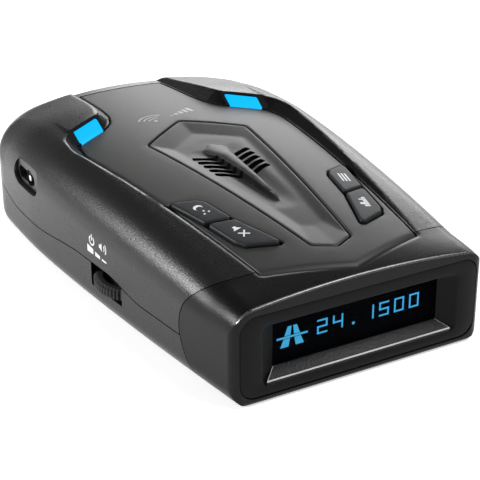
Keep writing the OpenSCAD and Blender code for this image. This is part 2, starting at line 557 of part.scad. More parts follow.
upper_housing();
lower_housing();
front_cap();
display_fascia();
display_sill();
display_window();
top_plate();
speaker_plate();
dark_button();
quiet_button();
menu_button();
city_button();
left_window_frame();
right_window_frame();
left_alert_lens();
right_alert_lens();
left_light_guide();
right_light_guide();
alert_leds();
volume_wheel();
volume_pot();
wheel_clip();
power_socket();
socket_pin();
main_board();
tact_switches();
board_chips();
board_capacitors();
display_holder();
display_glass();
display_board();
display_ribbon();
horn_antenna();
mixer_board();
rf_shield();
laser_window();
laser_lens();
laser_sensor();
speaker_felt();
speaker_frame();
speaker_cone();
speaker_magnet();
bracket_release();
rating_label();
housing_screws();
board_screws();
antenna_screws();
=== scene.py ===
"""Radar detector: the looks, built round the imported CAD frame. Lengths in the helpers are millimetres."""
import math
import bpy
import numpy as np
from mathutils import Matrix, Vector, geometry


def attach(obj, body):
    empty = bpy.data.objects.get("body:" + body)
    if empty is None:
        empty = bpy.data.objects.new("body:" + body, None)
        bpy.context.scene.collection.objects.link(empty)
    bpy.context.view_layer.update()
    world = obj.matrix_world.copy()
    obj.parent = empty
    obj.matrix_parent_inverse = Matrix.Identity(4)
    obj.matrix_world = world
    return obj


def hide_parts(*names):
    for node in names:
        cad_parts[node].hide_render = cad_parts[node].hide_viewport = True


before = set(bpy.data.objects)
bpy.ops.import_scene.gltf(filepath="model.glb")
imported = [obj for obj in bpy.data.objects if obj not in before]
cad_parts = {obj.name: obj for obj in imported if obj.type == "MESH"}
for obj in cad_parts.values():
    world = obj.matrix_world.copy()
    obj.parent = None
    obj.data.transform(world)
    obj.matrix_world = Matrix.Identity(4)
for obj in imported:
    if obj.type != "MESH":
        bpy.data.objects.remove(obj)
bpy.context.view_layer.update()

MM = 0.001
SCENE = bpy.context.scene

# ------------------------------------------------------------------ body shape
Y_FRONT, Y_REAR = -57.0, 57.0
HALF_W = 35.5
WIDEST_Y = 24.0
REAR_R = 16.0
CORNER_Y = Y_REAR - 1.3 - REAR_R
CORNER_X = HALF_W - 0.3 - REAR_R
FRONT_R = 2.4
FOOT_R = 3.8
FRONT_EDGE_R = 0.5
WALL = 2.0
PLATE_T = 1.5
SEAM_X, SEAM_Y = 17.5, -48.8
SUNK = PLATE_T + 2.5
LIFT = 2.7
RECESS_D = 2.2


def ease(t):
    u = np.clip(t, 0, 1)
    return u * u * (3 - 2 * u)


def side_w(y):
    y = np.asarray(y, float)
    front = HALF_W - 7.4 * (np.maximum(WIDEST_Y - y, 0) / (WIDEST_Y - Y_FRONT)) ** 1.45
    rear = HALF_W - 0.3 * ((y - WIDEST_Y) / (CORNER_Y - WIDEST_Y)) ** 2
    return np.where(y < WIDEST_Y, front, rear)


def bow(x):
    return Y_REAR - 1.46 * (np.asarray(x, float) / 21.4) ** 2


def plate_z(x, y):
    return 27.25 + 0.026 * y - 0.00118 * y * y - 0.0038 * x * x


def lift(y):
    return np.where(y < 18, LIFT * np.clip((y - SEAM_Y) / (18 - SEAM_Y), 0, 1),
                    LIFT - (LIFT - 1.3) * ease((y - 30) / 22))


def cap_drop(y):
    return 0.4 * np.clip((SEAM_Y - y) / (SEAM_Y - Y_FRONT), 0, 1) ** 1.3


def crown_z(x, y):
    return plate_z(x, y) + lift(y) - cap_drop(y) + 0.0013 * x * x * (1 - ease((y - Y_FRONT) / 11))


def round_drop(d, r):
    d = np.clip(d, 0, r)
    return r - np.sqrt(np.maximum(0, r * r - (r - d) ** 2))


def shoulder_r(y):
    return 4.2 + 3.8 * (1 - (1 - np.clip((y - Y_FRONT) / 62, 0, 1)) ** 2)


def rear_gap(x, y):
    corner = REAR_R - np.hypot(np.abs(x) - CORNER_X, y - CORNER_Y)
    flat = bow(x) - y
    return np.where(y < CORNER_Y, 99.0, np.where(np.abs(x) > CORNER_X, corner, flat))


def edge_gaps(x, y, o):
    return side_w(np.minimum(y, CORNER_Y)) - o - np.abs(x), y - Y_FRONT - o, rear_gap(x, y) - o


def outer_z(x, y):
    a, b, c = edge_gaps(x, y, 0.0)
    drops = [round_drop(a, shoulder_r(y)), round_drop(b, FRONT_EDGE_R), round_drop(c, 6.0)]
    return crown_z(x, y) - np.maximum.reduce(drops)


def inner_z(x, y):
    a, b, c = edge_gaps(x, y, WALL)
    top = np.minimum(crown_z(x, y) - WALL, plate_z(x, y) - SUNK)
    drops = [round_drop(a, shoulder_r(y) - WALL), round_drop(b, FRONT_EDGE_R), round_drop(c, 6.0 - WALL)]
    return top - np.maximum.reduce(drops)


def foot_z(x, y, o, r):
    a, b, c = edge_gaps(x, y, o)
    return o + np.maximum.reduce([round_drop(a, r), round_drop(b, min(r, 1.0)), round_drop(c, r)])


def part_z(y):
    return 8.4 + 2.0 * ease((y + 26) / 14) * (1 - ease((y + 2) / 24)) + 4.5 * ease((y - 30) / 24)


def seam_at(z):
    return -39.5 - 0.06 * (z - 10.5) ** 2


def plan_outline(o, step=0.9):
    """Closed outline of the body, inset by o, counterclockwise."""
    fr = max(0.8, FRONT_R - o)
    xf = float(side_w(Y_FRONT + fr)) - o
    pts = [(x, Y_FRONT + o) for x in np.arange(0.6, xf - fr, step)]
    for a in np.linspace(-90, 0, 9):
        t = math.radians(a)
        pts.append((xf - fr + fr * math.cos(t), Y_FRONT + o + fr + fr * math.sin(t)))
    ys = np.arange(Y_FRONT + o + fr + step, CORNER_Y - 0.3, step)
    pts += [(float(side_w(y)) - o, y) for y in ys]
    for a in np.linspace(0, 86, 30):
        t = math.radians(a)
        pts.append((CORNER_X + (REAR_R - o) * math.cos(t), CORNER_Y + (REAR_R - o) * math.sin(t)))
    pts += [(x, float(bow(x)) - o) for x in np.arange(19.3, 0.5, -step)]
    half = np.array(pts)
    return np.vstack([half, half[::-1] * [-1, 1]])


# ------------------------------------------------------------------ plane geometry
def inside(p, poly):
    x, y = p[:, 0], p[:, 1]
    hit = np.zeros(len(p), bool)
    nxt = np.roll(poly, -1, 0)
    for (ax, ay), (bx, by) in zip(poly, nxt):
        if ay == by:
            continue
        cross = (ay > y) != (by > y)
        hit ^= cross & (x < (bx - ax) * (y - ay) / (by - ay) + ax)
    return hit


def distance(p, poly):
    best = np.full(len(p), 1e9)
    for a, b in zip(poly, np.roll(poly, -1, 0)):
        ab = b - a
        t = np.clip(((p - a) @ ab) / max(ab @ ab, 1e-12), 0, 1)
        best = np.minimum(best, np.hypot(*(p - a - t[:, None] * ab).T))
    return best


def area(poly):
    x, y = np.asarray(poly).T
    return 0.5 * float(np.sum(x * np.roll(y, -1) - y * np.roll(x, -1)))


def ccw(poly):
    poly = np.asarray(poly, float)
    return poly if area(poly) > 0 else poly[::-1]


def grow(poly, d):
    """Mitred offset of a counterclockwise outline, outward for d > 0."""
    a, b, c = np.roll(poly, 1, 0), poly, np.roll(poly, -1, 0)
    u = (b - a) / np.linalg.norm(b - a, axis=1)[:, None]
    v = (c - b) / np.linalg.norm(c - b, axis=1)[:, None]
    m = np.stack([u[:, 1], -u[:, 0]], 1) + np.stack([v[:, 1], -v[:, 0]], 1)
    return b + m * (d / (np.sum(m * m, 1) / 2))[:, None]


def fillet(poly, r, n=6):
    """Rounds the corners of an outline. r is one radius, or one for each corner."""
    poly = np.asarray(poly, float)
    rs = np.full(len(poly), float(r)) if np.isscalar(r) else np.asarray(r, float)
    out = []
    for i, b in enumerate(poly):
        a, c = poly[i - 1], poly[(i + 1) % len(poly)]
        u, v = (a - b), (c - b)
        lu, lv = np.linalg.norm(u), np.linalg.norm(v)
        u, v = u / lu, v / lv
        half = math.acos(max(-1, min(1, float(u @ v)))) / 2
        t = rs[i] / max(math.tan(half), 1e-6)
        t = min(t, 0.48 * lu, 0.48 * lv)
        if t < 0.02 or half > 1.55:
            out.append(tuple(b))
            continue
        rad = t * math.tan(half)
        bis = (u + v) / np.linalg.norm(u + v)
        centre = b + bis * (rad / math.sin(half))
        p0, p1 = b + u * t, b + v * t
        a0 = math.atan2(*(p0 - centre)[::-1])
        a1 = math.atan2(*(p1 - centre)[::-1])
        da = (a1 - a0 + math.pi) % (2 * math.pi) - math.pi
        k = max(2, int(n * abs(da) / 1.2) + 1)
        for j in range(k + 1):
            t2 = a0 + da * j / k
            out.append((centre[0] + rad * math.cos(t2), centre[1] + rad * math.sin(t2)))
    return np.array(out)


def resample(poly, step, closed=True):
    poly = np.asarray(poly, float)
    out = []
    ends = np.roll(poly, -1, 0) if closed else poly[1:]
    for a, b in zip(poly if closed else poly[:-1], ends):
        k = max(1, int(math.ceil(np.linalg.norm(b - a) / step)))
        out += [a + (b - a) * j / k for j in range(k)]
    if not closed:
        out.append(poly[-1])
    return np.array(out)


def flip(poly):
    return ccw(np.asarray(poly, float) * [-1, 1])


def mirrored(half):
    half = np.asarray(half, float)
    return np.vstack([half, half[::-1] * [-1, 1]])


def grid(poly, step):
    lo, hi = poly.min(0), poly.max(0)
    xs, ys = np.arange(lo[0], hi[0], step), np.arange(lo[1], hi[1], step)
    gx, gy = np.meshgrid(xs, ys)
    gx[1::2] += step / 2
    return np.stack([gx.ravel(), gy.ravel()], 1)


def triangulate(outer, holes=(), loops=(), lines=(), step=1.5, clear=0.5):
    """Triangles of a plane region. loops and lines are extra polylines that edges follow."""
    pts, edges = [], []

    def add(poly, closed):
        base = len(pts)
        pts.extend(map(tuple, poly))
        n = len(poly)
        edges.extend((base + i, base + (i + 1) % n) for i in range(n if closed else n - 1))

    for poly in [outer, *holes, *loops]:
        add(poly, True)
    for poly in lines:
        add(poly, False)
    marked = np.array(pts)
    cloud = grid(outer, step)
    cloud = cloud[inside(cloud, outer)]
    for hole in holes:
        cloud = cloud[~inside(cloud, hole)]
    if len(cloud):
        far = np.ones(len(cloud), bool)
        for i in range(0, len(marked), 400):
            block = marked[i:i + 400]
            d = np.min(np.hypot(cloud[:, None, 0] - block[None, :, 0],
                                cloud[:, None, 1] - block[None, :, 1]), 1)
            far &= d > clear * step
        pts.extend(map(tuple, cloud[far]))
    verts, _, faces, *_ = geometry.delaunay_2d_cdt([Vector(p) for p in pts], edges, [], 0, 1e-5, False)
    v = np.array([tuple(p) for p in verts])
    f = np.array([tuple(t) for t in faces if len(t) == 3])
    e1, e2 = v[f[:, 1]] - v[f[:, 0]], v[f[:, 2]] - v[f[:, 0]]
    turn = e1[:, 0] * e2[:, 1] - e1[:, 1] * e2[:, 0]
    f[turn < 0] = f[turn < 0][:, ::-1]
    f = f[np.abs(turn) > 1e-9]
    mid = v[f].mean(1)
    keep = inside(mid, outer)
    for hole in holes:
        keep &= ~inside(mid, hole)
    f = f[keep]
    used = np.unique(f)
    remap = np.full(len(v), -1)
    remap[used] = np.arange(len(used))
    return v[used], remap[f]


def rim_edges(faces):
    seen = {}
    for a, b, c in faces:
        for e in ((a, b), (b, c), (c, a)):
            seen[e] = True
    return [e for e in seen if (e[1], e[0]) not in seen]


def field_solid(outer, zlo, zhi, rows=1, **kw):
    """Closed solid between two surfaces over a plane region. Side walls are upright."""
    v, f = triangulate(outer, **kw)
    n = len(v)
    lo, hi = zlo(v[:, 0], v[:, 1]), zhi(v[:, 0], v[:, 1])
    verts = [(x, y, z) for (x, y), z in zip(v, lo)] + [(x, y, z) for (x, y), z in zip(v, hi)]
    faces = [(c, b, a) for a, b, c in f] + [(n + a, n + b, n + c) for a, b, c in f]
    levels = {}

    def level(i, k):
        if k == 0:
            return i
        if k == rows:
            return n + i
        if (i, k) not in levels:
            levels[i, k] = len(verts)
            verts.append((v[i, 0], v[i, 1], lo[i] + (hi[i] - lo[i]) * k / rows))
        return levels[i, k]

    for a, b in rim_edges(f):
        for k in range(rows):
            faces.append((level(a, k), level(b, k), level(b, k + 1), level(a, k + 1)))
    return verts, faces


# ------------------------------------------------------------------ meshes
def mesh_object(name, verts, faces, sharp=32):
    mesh = bpy.data.meshes.new(name)
    mesh.from_pydata([tuple(float(c) * MM for c in p) for p in verts], [],
                     [tuple(int(i) for i in q) for q in faces])
    mesh.validate()
    shade(mesh, sharp)
    obj = bpy.data.objects.new(name, mesh)
    SCENE.collection.objects.link(obj)
    return obj


def shade(mesh, sharp):
    mesh.polygons.foreach_set("use_smooth", [True] * len(mesh.polygons))
    mesh.set_sharp_from_angle(angle=math.radians(sharp))
    mesh.update()


def drop(obj):
    mesh = obj.data
    bpy.data.objects.remove(obj)
    bpy.data.meshes.remove(mesh)


def cut(obj, cutter, op="DIFFERENCE", keep=False, sharp=32, solver="MANIFOLD"):
    mod = obj.modifiers.new("cut", "BOOLEAN")
    mod.operation, mod.object, mod.solver = op, cutter, solver
    graph = bpy.context.evaluated_depsgraph_get()
    mesh = bpy.data.meshes.new_from_object(obj.evaluated_get(graph))
    obj.modifiers.clear()
    old, obj.data = obj.data, mesh
    bpy.data.meshes.remove(old)
    mesh.name = obj.name
    if not len(mesh.polygons):
        raise RuntimeError("nothing left of " + obj.name)
    shade(mesh, sharp)
    if not keep:
        drop(cutter)
    return obj


def copy_of(obj, name):
    new = bpy.data.objects.new(name, obj.data.copy())
    new.data.name = name
    SCENE.collection.objects.link(new)
    return new


def loft(loops, caps=(True, True)):
    """Skin through closed loops with the same number of points. Each loop turns the same way."""
    n = len(loops[0])
    verts = [tuple(p) for loop in loops for p in loop]
    faces = [(r * n + i, r * n + (i + 1) % n, (r + 1) * n + (i + 1) % n, (r + 1) * n + i)
             for r in range(len(loops) - 1) for i in range(n)]
    if caps[0]:
        faces.append(tuple(range(n))[::-1])
    if caps[1]:
        faces.append(tuple(range((len(loops) - 1) * n, len(loops) * n)))
    return verts, faces


def ring_loft(loops):
    """Skin through closed loops in which the last loop joins the first again, as in a frame or a wheel."""
    verts, faces = loft(loops + [loops[0]], (False, False))
    last = len(loops) * len(loops[0])
    return verts[:last], [tuple(i - last if i >= last else i for i in f) for f in faces]


def prism(name, poly, z0, z1):
    poly = ccw(poly)
    return mesh_object(name, *loft([[(x, y, z0) for x, y in poly], [(x, y, z1) for x, y in poly]]))


def across(name, poly, x0, x1):
    """Prism along X of an outline in Y, Z."""
    poly = ccw(poly)
    return mesh_object(name, *loft([[(x0, y, z) for y, z in poly], [(x1, y, z) for y, z in poly]]))


def round_rect(hw, z0, z1, r, n=8, cx=0.0):
    """Outline of a rounded rectangle in X, Z, counterclockwise seen from -Y, always 4(n + 1) points."""
    out = []
    for sx, cz, a0 in ((1, z0 + r, -90), (1, z1 - r, 0), (-1, z1 - r, 90), (-1, z0 + r, 180)):
        for j in range(n + 1):
            t = math.radians(a0 + 90 * j / n)
            out.append((cx + sx * (hw - r) + r * math.cos(t), cz + r * math.sin(t)))
    return out


def box_piece(name, x0, x1, y0, y1, z0, z1, bevel=0.0, segments=3):
    verts = [(x, y, z) for z in (z0, z1) for y in (y0, y1) for x in (x0, x1)]
    faces = [(0, 2, 3, 1), (4, 5, 7, 6), (0, 1, 5, 4), (2, 6, 7, 3), (0, 4, 6, 2), (1, 3, 7, 5)]
    obj = mesh_object(name, verts, faces)
    return rounded(obj, bevel, segments) if bevel else obj


def rounded(obj, width, segments=3, angle=30, sharp=32):
    """Applies a bevel of this width in mm to the sharp edges."""
    mod = obj.modifiers.new("bevel", "BEVEL")
    mod.width, mod.segments, mod.limit_method = width * MM, segments, "ANGLE"
    mod.angle_limit = math.radians(angle)
    graph = bpy.context.evaluated_depsgraph_get()
    mesh = bpy.data.meshes.new_from_object(obj.evaluated_get(graph))
    obj.modifiers.clear()
    old, obj.data = obj.data, mesh
    bpy.data.meshes.remove(old)
    mesh.name = obj.name
    shade(mesh, sharp)
    return obj


# ------------------------------------------------------------------ materials
def plastic(name, colour, rough=0.4, grain=0.3, bump=0.25, mottle=0.12, coat=0.0, spec=0.5, rough_var=0.08,
            emit=None, metal=0.0, transmission=0.0, ior=1.5, alpha=1.0):
    """Moulded material: fine grain in the surface, slight unevenness of tone and gloss. grain in mm."""
    mat = bpy.data.materials.new(name)
    mat.use_nodes = True
    nt = mat.node_tree
    shader = nt.nodes["Principled BSDF"]
    shader.inputs["Roughness"].default_value = rough
    shader.inputs["Metallic"].default_value = metal
    shader.inputs["Specular IOR Level"].default_value = spec
    shader.inputs["Coat Weight"].default_value = coat
    shader.inputs["Coat Roughness"].default_value = 0.12
    shader.inputs["Transmission Weight"].default_value = transmission
    shader.inputs["IOR"].default_value = ior
    shader.inputs["Alpha"].default_value = alpha
    where = nt.nodes.new("ShaderNodeTexCoord")
    fine = nt.nodes.new("ShaderNodeTexNoise")
    fine.inputs["Scale"].default_value = 1 / (grain * MM)
    fine.inputs["Detail"].default_value = 3.0
    fine.inputs["Roughness"].default_value = 0.6
    nt.links.new(where.outputs["Object"], fine.inputs["Vector"])
    bumps = nt.nodes.new("ShaderNodeBump")
    bumps.inputs["Strength"].default_value = bump
    bumps.inputs["Distance"].default_value = grain * MM * 0.25
    nt.links.new(fine.outputs["Fac"], bumps.inputs["Height"])
    nt.links.new(bumps.outputs["Normal"], shader.inputs["Normal"])
    broad = nt.nodes.new("ShaderNodeTexNoise")
    broad.inputs["Scale"].default_value = 1 / (18 * MM)
    broad.inputs["Detail"].default_value = 5.0
    nt.links.new(where.outputs["Object"], broad.inputs["Vector"])
    tone = nt.nodes.new("ShaderNodeMix")
    tone.data_type = "RGBA"
    lo = [c * (1 - mottle) for c in colour[:3]] + [1]
    hi = [min(1, c * (1 + mottle)) for c in colour[:3]] + [1]
    tone.inputs[6].default_value, tone.inputs[7].default_value = lo, hi
    nt.links.new(broad.outputs["Fac"], tone.inputs[0])
    nt.links.new(tone.outputs[2], shader.inputs["Base Color"])
    gloss = nt.nodes.new("ShaderNodeMapRange")
    gloss.inputs["To Min"].default_value = max(0.02, rough - rough_var)
    gloss.inputs["To Max"].default_value = min(1, rough + rough_var)
    nt.links.new(fine.outputs["Fac"], gloss.inputs["Value"])
    nt.links.new(gloss.outputs["Result"], shader.inputs["Roughness"])
    if emit:
        shader.inputs["Emission Color"].default_value = (*emit[0], 1)
        shader.inputs["Emission Strength"].default_value = emit[1]
    mat.diffuse_color = (*colour[:3], 1)
    return mat


MAT = {
    "shell": plastic("shell_black", (0.008, 0.008, 0.0085), 0.29, 0.4, 0.45, 0.1, spec=0.34),
    # painted shade: a darker, duller copy of the shell plastic, laid on steep walls in the valley and the
    # loudspeaker plate
    "valley": plastic("valley_black", (0.003, 0.003, 0.0035), 0.6, 0.35, 0.4, 0.1, spec=0.07),
    "cap": plastic("cap_black", (0.0035, 0.0035, 0.004), 0.3, 0.35, 0.35, 0.1, spec=0.17),
    # painted highlight: a lighter grey with full specular, laid on the cap's top front edge to show a bright
    # line there
    "cap_rim_highlight": plastic("cap_rim_painted_highlight", (0.05, 0.05, 0.052), 0.28, 0.35, 0.2, 0.1, spec=1.0),
    "plate": plastic("plate_grey", (0.020, 0.0195, 0.019), 0.44, 0.3, 0.35, 0.08, spec=0.45),
    "grille": plastic("grille_grey", (0.022, 0.0215, 0.021), 0.44, 0.3, 0.35, 0.08, spec=0.45),
    "key": plastic("key_slate", (0.012, 0.0135, 0.016), 0.5, 0.35, 0.5, 0.15, spec=0.3),
    "fascia": plastic("fascia_black", (0.004, 0.004, 0.0045), 0.36, 0.25, 0.2, 0.1, spec=0.1),
    "sill": plastic("sill_grey", (0.009, 0.009, 0.010), 0.45, 0.5, 1.3, 0.6, spec=0.28),
    # painted highlight: light grey laid on the sill's front and side edges as bright lines
    "sill_edge_highlight": plastic("sill_edge_painted_highlight", (0.6, 0.6, 0.62), 0.35, 0.3, 0.2, 0.2),
    "surround": plastic("surround_black", (0.004, 0.004, 0.005), 0.5, 0.3, 0.1, 0.1, spec=0.12),
    "smoke": plastic("smoked_window", (0.004, 0.004, 0.005), 0.3, 0.4, 0.0, 0.02, spec=0.0, rough_var=0.01,
                     alpha=0.25),
    "blue": plastic("alert_blue", (0.0, 0.1, 0.25), 0.35, 0.5, 0.05, 0.05, spec=0.15,
                    emit=((0.0, 0.5, 1.0), 0.95)),
    "glow": plastic("display_glow", (0.02, 0.3, 0.6), 0.4, 0.3, 0.05, 0.05, emit=((0.05, 0.42, 0.72), 1.25)),
    "ink": plastic("print_white", (0.7, 0.72, 0.74), 0.55, 0.2, 0.2, 0.05),
    "mark": plastic("print_silver", (0.38, 0.38, 0.39), 0.5, 0.2, 0.2, 0.05),
    "wheel": plastic("wheel_black", (0.02, 0.02, 0.022), 0.45, 0.3, 0.3, 0.1),
    "socket": plastic("socket_black", (0.012, 0.012, 0.014), 0.35, 0.3, 0.15, 0.1),
    "steel": plastic("plated_steel", (0.6, 0.6, 0.62), 0.3, 0.25, 0.15, 0.08, metal=1.0),
    "dark_steel": plastic("black_steel", (0.08, 0.08, 0.085), 0.4, 0.3, 0.2, 0.1, metal=0.8),
    "pin": plastic("nickel", (0.8, 0.78, 0.7), 0.2, 0.3, 0.05, 0.05, metal=1.0),
    "board": plastic("board_green", (0.01, 0.12, 0.04), 0.35, 0.8, 0.2, 0.2),
    "chip": plastic("chip_black", (0.012, 0.012, 0.014), 0.55, 0.2, 0.3, 0.1),
    "can": plastic("capacitor_can", (0.35, 0.4, 0.6), 0.3, 0.4, 0.1, 0.1, metal=0.7),
    "mask": plastic("display_mask", (0.002, 0.002, 0.003), 0.7, 0.3, 0.05, 0.1, spec=0.02),
    "panel": plastic("display_panel", (0.002, 0.003, 0.005), 0.6, 0.6, 0.0, 0.1, spec=0.02),
    "film": plastic("ribbon_film", (0.55, 0.28, 0.06), 0.35, 0.5, 0.1, 0.15),
    "cast": plastic("cast_metal", (0.62, 0.63, 0.65), 0.5, 0.35, 0.5, 0.1, metal=1.0),
    "clear": plastic("clear_acrylic", (0.85, 0.92, 1.0), 0.08, 0.6, 0.03, 0.02, transmission=0.9),
    "laser": plastic("laser_red", (0.03, 0.002, 0.006), 0.12, 0.4, 0.02, 0.1, spec=0.7, rough_var=0.03),
    "felt": plastic("felt_black", (0.008, 0.008, 0.008), 0.95, 0.25, 1.0, 0.3, spec=0.1),
    "paper": plastic("cone_paper", (0.16, 0.13, 0.09), 0.85, 0.5, 0.6, 0.25, spec=0.2),
    "ferrite": plastic("ferrite", (0.05, 0.05, 0.055), 0.6, 0.4, 0.6, 0.2),
    "label": plastic("label_film", (0.42, 0.43, 0.45), 0.3, 0.6, 0.08, 0.05, metal=0.4),
    "release": plastic("release_black", (0.025, 0.025, 0.028), 0.5, 0.4, 0.5, 0.15),
    "pot": plastic("pot_blue", (0.03, 0.05, 0.12), 0.45, 0.3, 0.2, 0.15),
    "led": plastic("led_white", (0.8, 0.85, 0.8), 0.25, 0.4, 0.1, 0.05, emit=((0.3, 0.6, 1.0), 0.6)),
}


def dress(obj, mat):
    obj.data.materials.clear()
    obj.data.materials.append(MAT[mat])
    return obj


def finish_piece(obj, mat, body, slot, *nodes):
    dress(obj, mat)
    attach(obj, body)
    if nodes:
        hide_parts(*nodes)
    return obj


# ------------------------------------------------------------------ camera
cam_data = bpy.data.cameras.new("camera")
cam_data.sensor_width = 36.0
cam_data.lens = 1381.13 / 480 * 36
camera = bpy.data.objects.new("camera", cam_data)
SCENE.collection.objects.link(camera)
right = Vector((0.87169, -0.49004, -0.00309))
up = Vector((0.21175, 0.37095, 0.90419))
back = Vector((-0.44194, -0.78883, 0.42712))
pose = Matrix((right, up, back)).transposed().to_4x4()
pose.translation = Vector((-0.132689, -0.246146, 0.137056))
camera.matrix_world = pose
SCENE.camera = camera

# ------------------------------------------------------------------ outlines
TONGUE = [(16.2, 24.3), (13.4, 27.2), (11.9, 31), (11.3, 36), (10.8, 51)]
PLATE_HALF = [(SEAM_X, SEAM_Y), (25, 14.6), (24.2, 20.5)] + TONGUE
PLATE = np.vstack([[(0, -54.7)], mirrored(PLATE_HALF)])
VALLEY_HALF = [(SEAM_X, SEAM_Y), (25, 14.6), (24.2, 20.5)] + TONGUE[:4] + [(10.6, 62)]
VALLEY = np.vstack([[(0, -54.7)], mirrored(VALLEY_HALF)])
PLATE_CORNERS = [0.8] + [0.8, 3.0, 2.2, 2.5, 4, 6, 8, 0.6] + [0.6, 8, 6, 4, 2.5, 2.2, 3.0, 0.8]
VALLEY_CORNERS = [0.8] + [0.8, 3.0, 2.2, 2.5, 4, 6, 8, 1.0] + [1.0, 8, 6, 4, 2.5, 2.2, 3.0, 0.8]
PLATE_R = fillet(PLATE, PLATE_CORNERS)
VALLEY_R = fillet(VALLEY, VALLEY_CORNERS)
GRILLE = np.array([(0, -47.6), (4.6, -45.3), (12.4, 9.8), (0, 19.1), (-12.4, 9.8), (-4.6, -45.3)], float)
GRILLE_R = fillet(GRILLE, [1.5, 1.5, 1.2, 1.5, 1.2, 1.5])
PAIR = np.array([(8.3, -43.1), (15.9, -39.9), (17.2, -37.6), (18.9, -28.4), (21.6, -16.6),
                 (15.6, -19.3), (14.3, -21.3), (12.7, -30.3)], float)
PAIR_R = fillet(PAIR, [0.8, 1.0, 1.5, 2, 0.8, 1.0, 1.5, 2])
FRAME = np.array([(15.8, 24.8), (24.3, 20.7), (25.3, 21.4), (25.3, 24.4), (15.8, 28.9)], float)
LENS = np.array([(16.3, 24.42), (23.5, 20.98), (23.7, 24.6), (16.5, 28.1)], float)


def smooth_min(a, b, k):
    h = np.clip(0.5 + 0.5 * (b - a) / k, 0, 1)
    return b * (1 - h) + a * h - k * h * (1 - h)


def valley_wall(x, y):
    p = np.stack([x, y], 1)
    d = distance(p, VALLEY_R)
    wall = plate_z(x, y) + np.maximum(0, 1.06 * d - 0.6)
    return np.where(inside(p, VALLEY_R), plate_z(x, y), wall)


def body_top(x, y):
    return smooth_min(outer_z(x, y), valley_wall(x, y), 0.45)


# ------------------------------------------------------------------ housing and cap
outline = plan_outline(0)
inset_rings = [0.02, 0.08, 0.18, 0.32, 0.5, 0.75, 1.05, 1.4, 1.8]
rings = [grow(outline, -s) for s in inset_rings]


def side_line(s):
    """Open line along one side and round the rear, inset s from the outline."""
    pts = [(float(side_w(y)) - s, y) for y in np.arange(-53, CORNER_Y, 1.1)]
    pts += [(CORNER_X + (REAR_R - s) * math.cos(t), CORNER_Y + (REAR_R - s) * math.sin(t))
            for t in np.radians(np.arange(0, 90, 4))]
    pts += [(x, float(bow(x)) - s) for x in np.arange(19, 0.4, -1.1)]
    return np.array(pts)


sides = [side_line(s) for s in (2.3, 2.9, 3.6, 4.4, 5.3, 6.3, 7.4, 8.6)]
sides += [s * [-1, 1] for s in sides]
valley_loops = [resample(grow(VALLEY_R, d), 0.9)
                for d in (0.0, 0.35, 0.57, 0.8, 1.3, 1.9, 2.5, 3.0, 3.4, 3.8)]
body = mesh_object("body", *field_solid(
    outline, lambda x, y: foot_z(x, y, 0.0, FOOT_R), body_top, rows=14,
    loops=rings, lines=sides + [v for v in valley_loops], step=1.3, clear=0.45))
cavity = mesh_object("cavity", *field_solid(
    plan_outline(WALL, 2.0), lambda x, y: foot_z(x, y, WALL, 1.0), inner_z, rows=2, step=3.0))

ys = np.arange(-62, 64, 0.8)
above = across("above", [(64, 60), (-62, 60)] + [(y, float(part_z(y)) + 0.12) for y in ys]
               + [(64, float(part_z(64)))], -60, 60)
below = across("below", [(64, -5), (-62, -5)] + [(y, float(part_z(y)) - 0.12) for y in ys]
               + [(64, float(part_z(64)) - 0.12)], -60, 60)
zs = np.arange(-2, 32.5, 0.5)
behind = across("behind", [(float(seam_at(z)) + 0.13, z) for z in zs] + [(80, 32), (80, -2)], -60, 60)
before = across("before", [(float(seam_at(z)) - 0.13, z) for z in zs] + [(-90, 32), (-90, -2)], -60, 60)


def flared_pill(name, x0, x1):
    """Cutter for the opening round the power socket, with a rounded rim at the wall's outer face."""
    loops = []
    for x, g in ((x0, 0.35), (-35.5, 0.35), (-35.3, 0.17), (-35.05, 0.05), (-34.7, 0.0), (x1, 0.0)):
        h, ring = JACK_H / 2 + g, []
        for s, a0 in ((1, -90), (-1, 90)):
            for t in np.radians(np.linspace(a0, a0 + 180, 15)):
                ring.append((x, JACK_C[0] + s * (JACK_L - JACK_H) / 2 + h * math.cos(t),
                             JACK_C[1] + h * math.sin(t)))
        loops.append(ring)
    return mesh_object(name, *loft(loops))


def crease(sx):
    """Cutter for the short groove that fades out behind the outer corner of each alert window."""
    rows = [(23.6, 0.9, 1.2), (26.5, 0.6, 0.8), (30, 0.32, 0.4), (33.5, 0.05, 0.05)]
    loops = []
    for y, half, depth in rows:
        top = float(body_top(np.array([25.2]), np.array([y]))[0])
        loops.append([(sx * (25.2 - half * 3), y, top + 2 * depth), (sx * 25.2, y, top - depth),
                      (sx * (25.2 + half * 3), y, top + 2 * depth)][::sx])
    return mesh_object("c", *loft(loops))


def disc(name, c, r, z0, z1, n=48):
    return prism(name, [(c[0] + r * math.cos(t), c[1] + r * math.sin(t))
                        for t in np.linspace(0, 2 * math.pi, n, False)], z0, z1)


def deep(poly, name, floor, spacing=2.0):
    """Cutter over an outline, from floor(x, y) up."""
    poly = ccw(poly)
    return mesh_object(name, *field_solid(resample(poly, spacing), floor,
                                          lambda x, y: np.full_like(x, 45.0), step=4))


WHEEL_C = (-25.3, -11.5)
WHEEL_Z, WHEEL_T, WHEEL_R = 5.7, 2.5, 9.5
JACK_C, JACK_L, JACK_H = (25.6, 18.4), 13.6, 5.6
CASE_SCREWS = [(25.5, -27), (-25.5, -27), (27, 41), (-27, 41)]

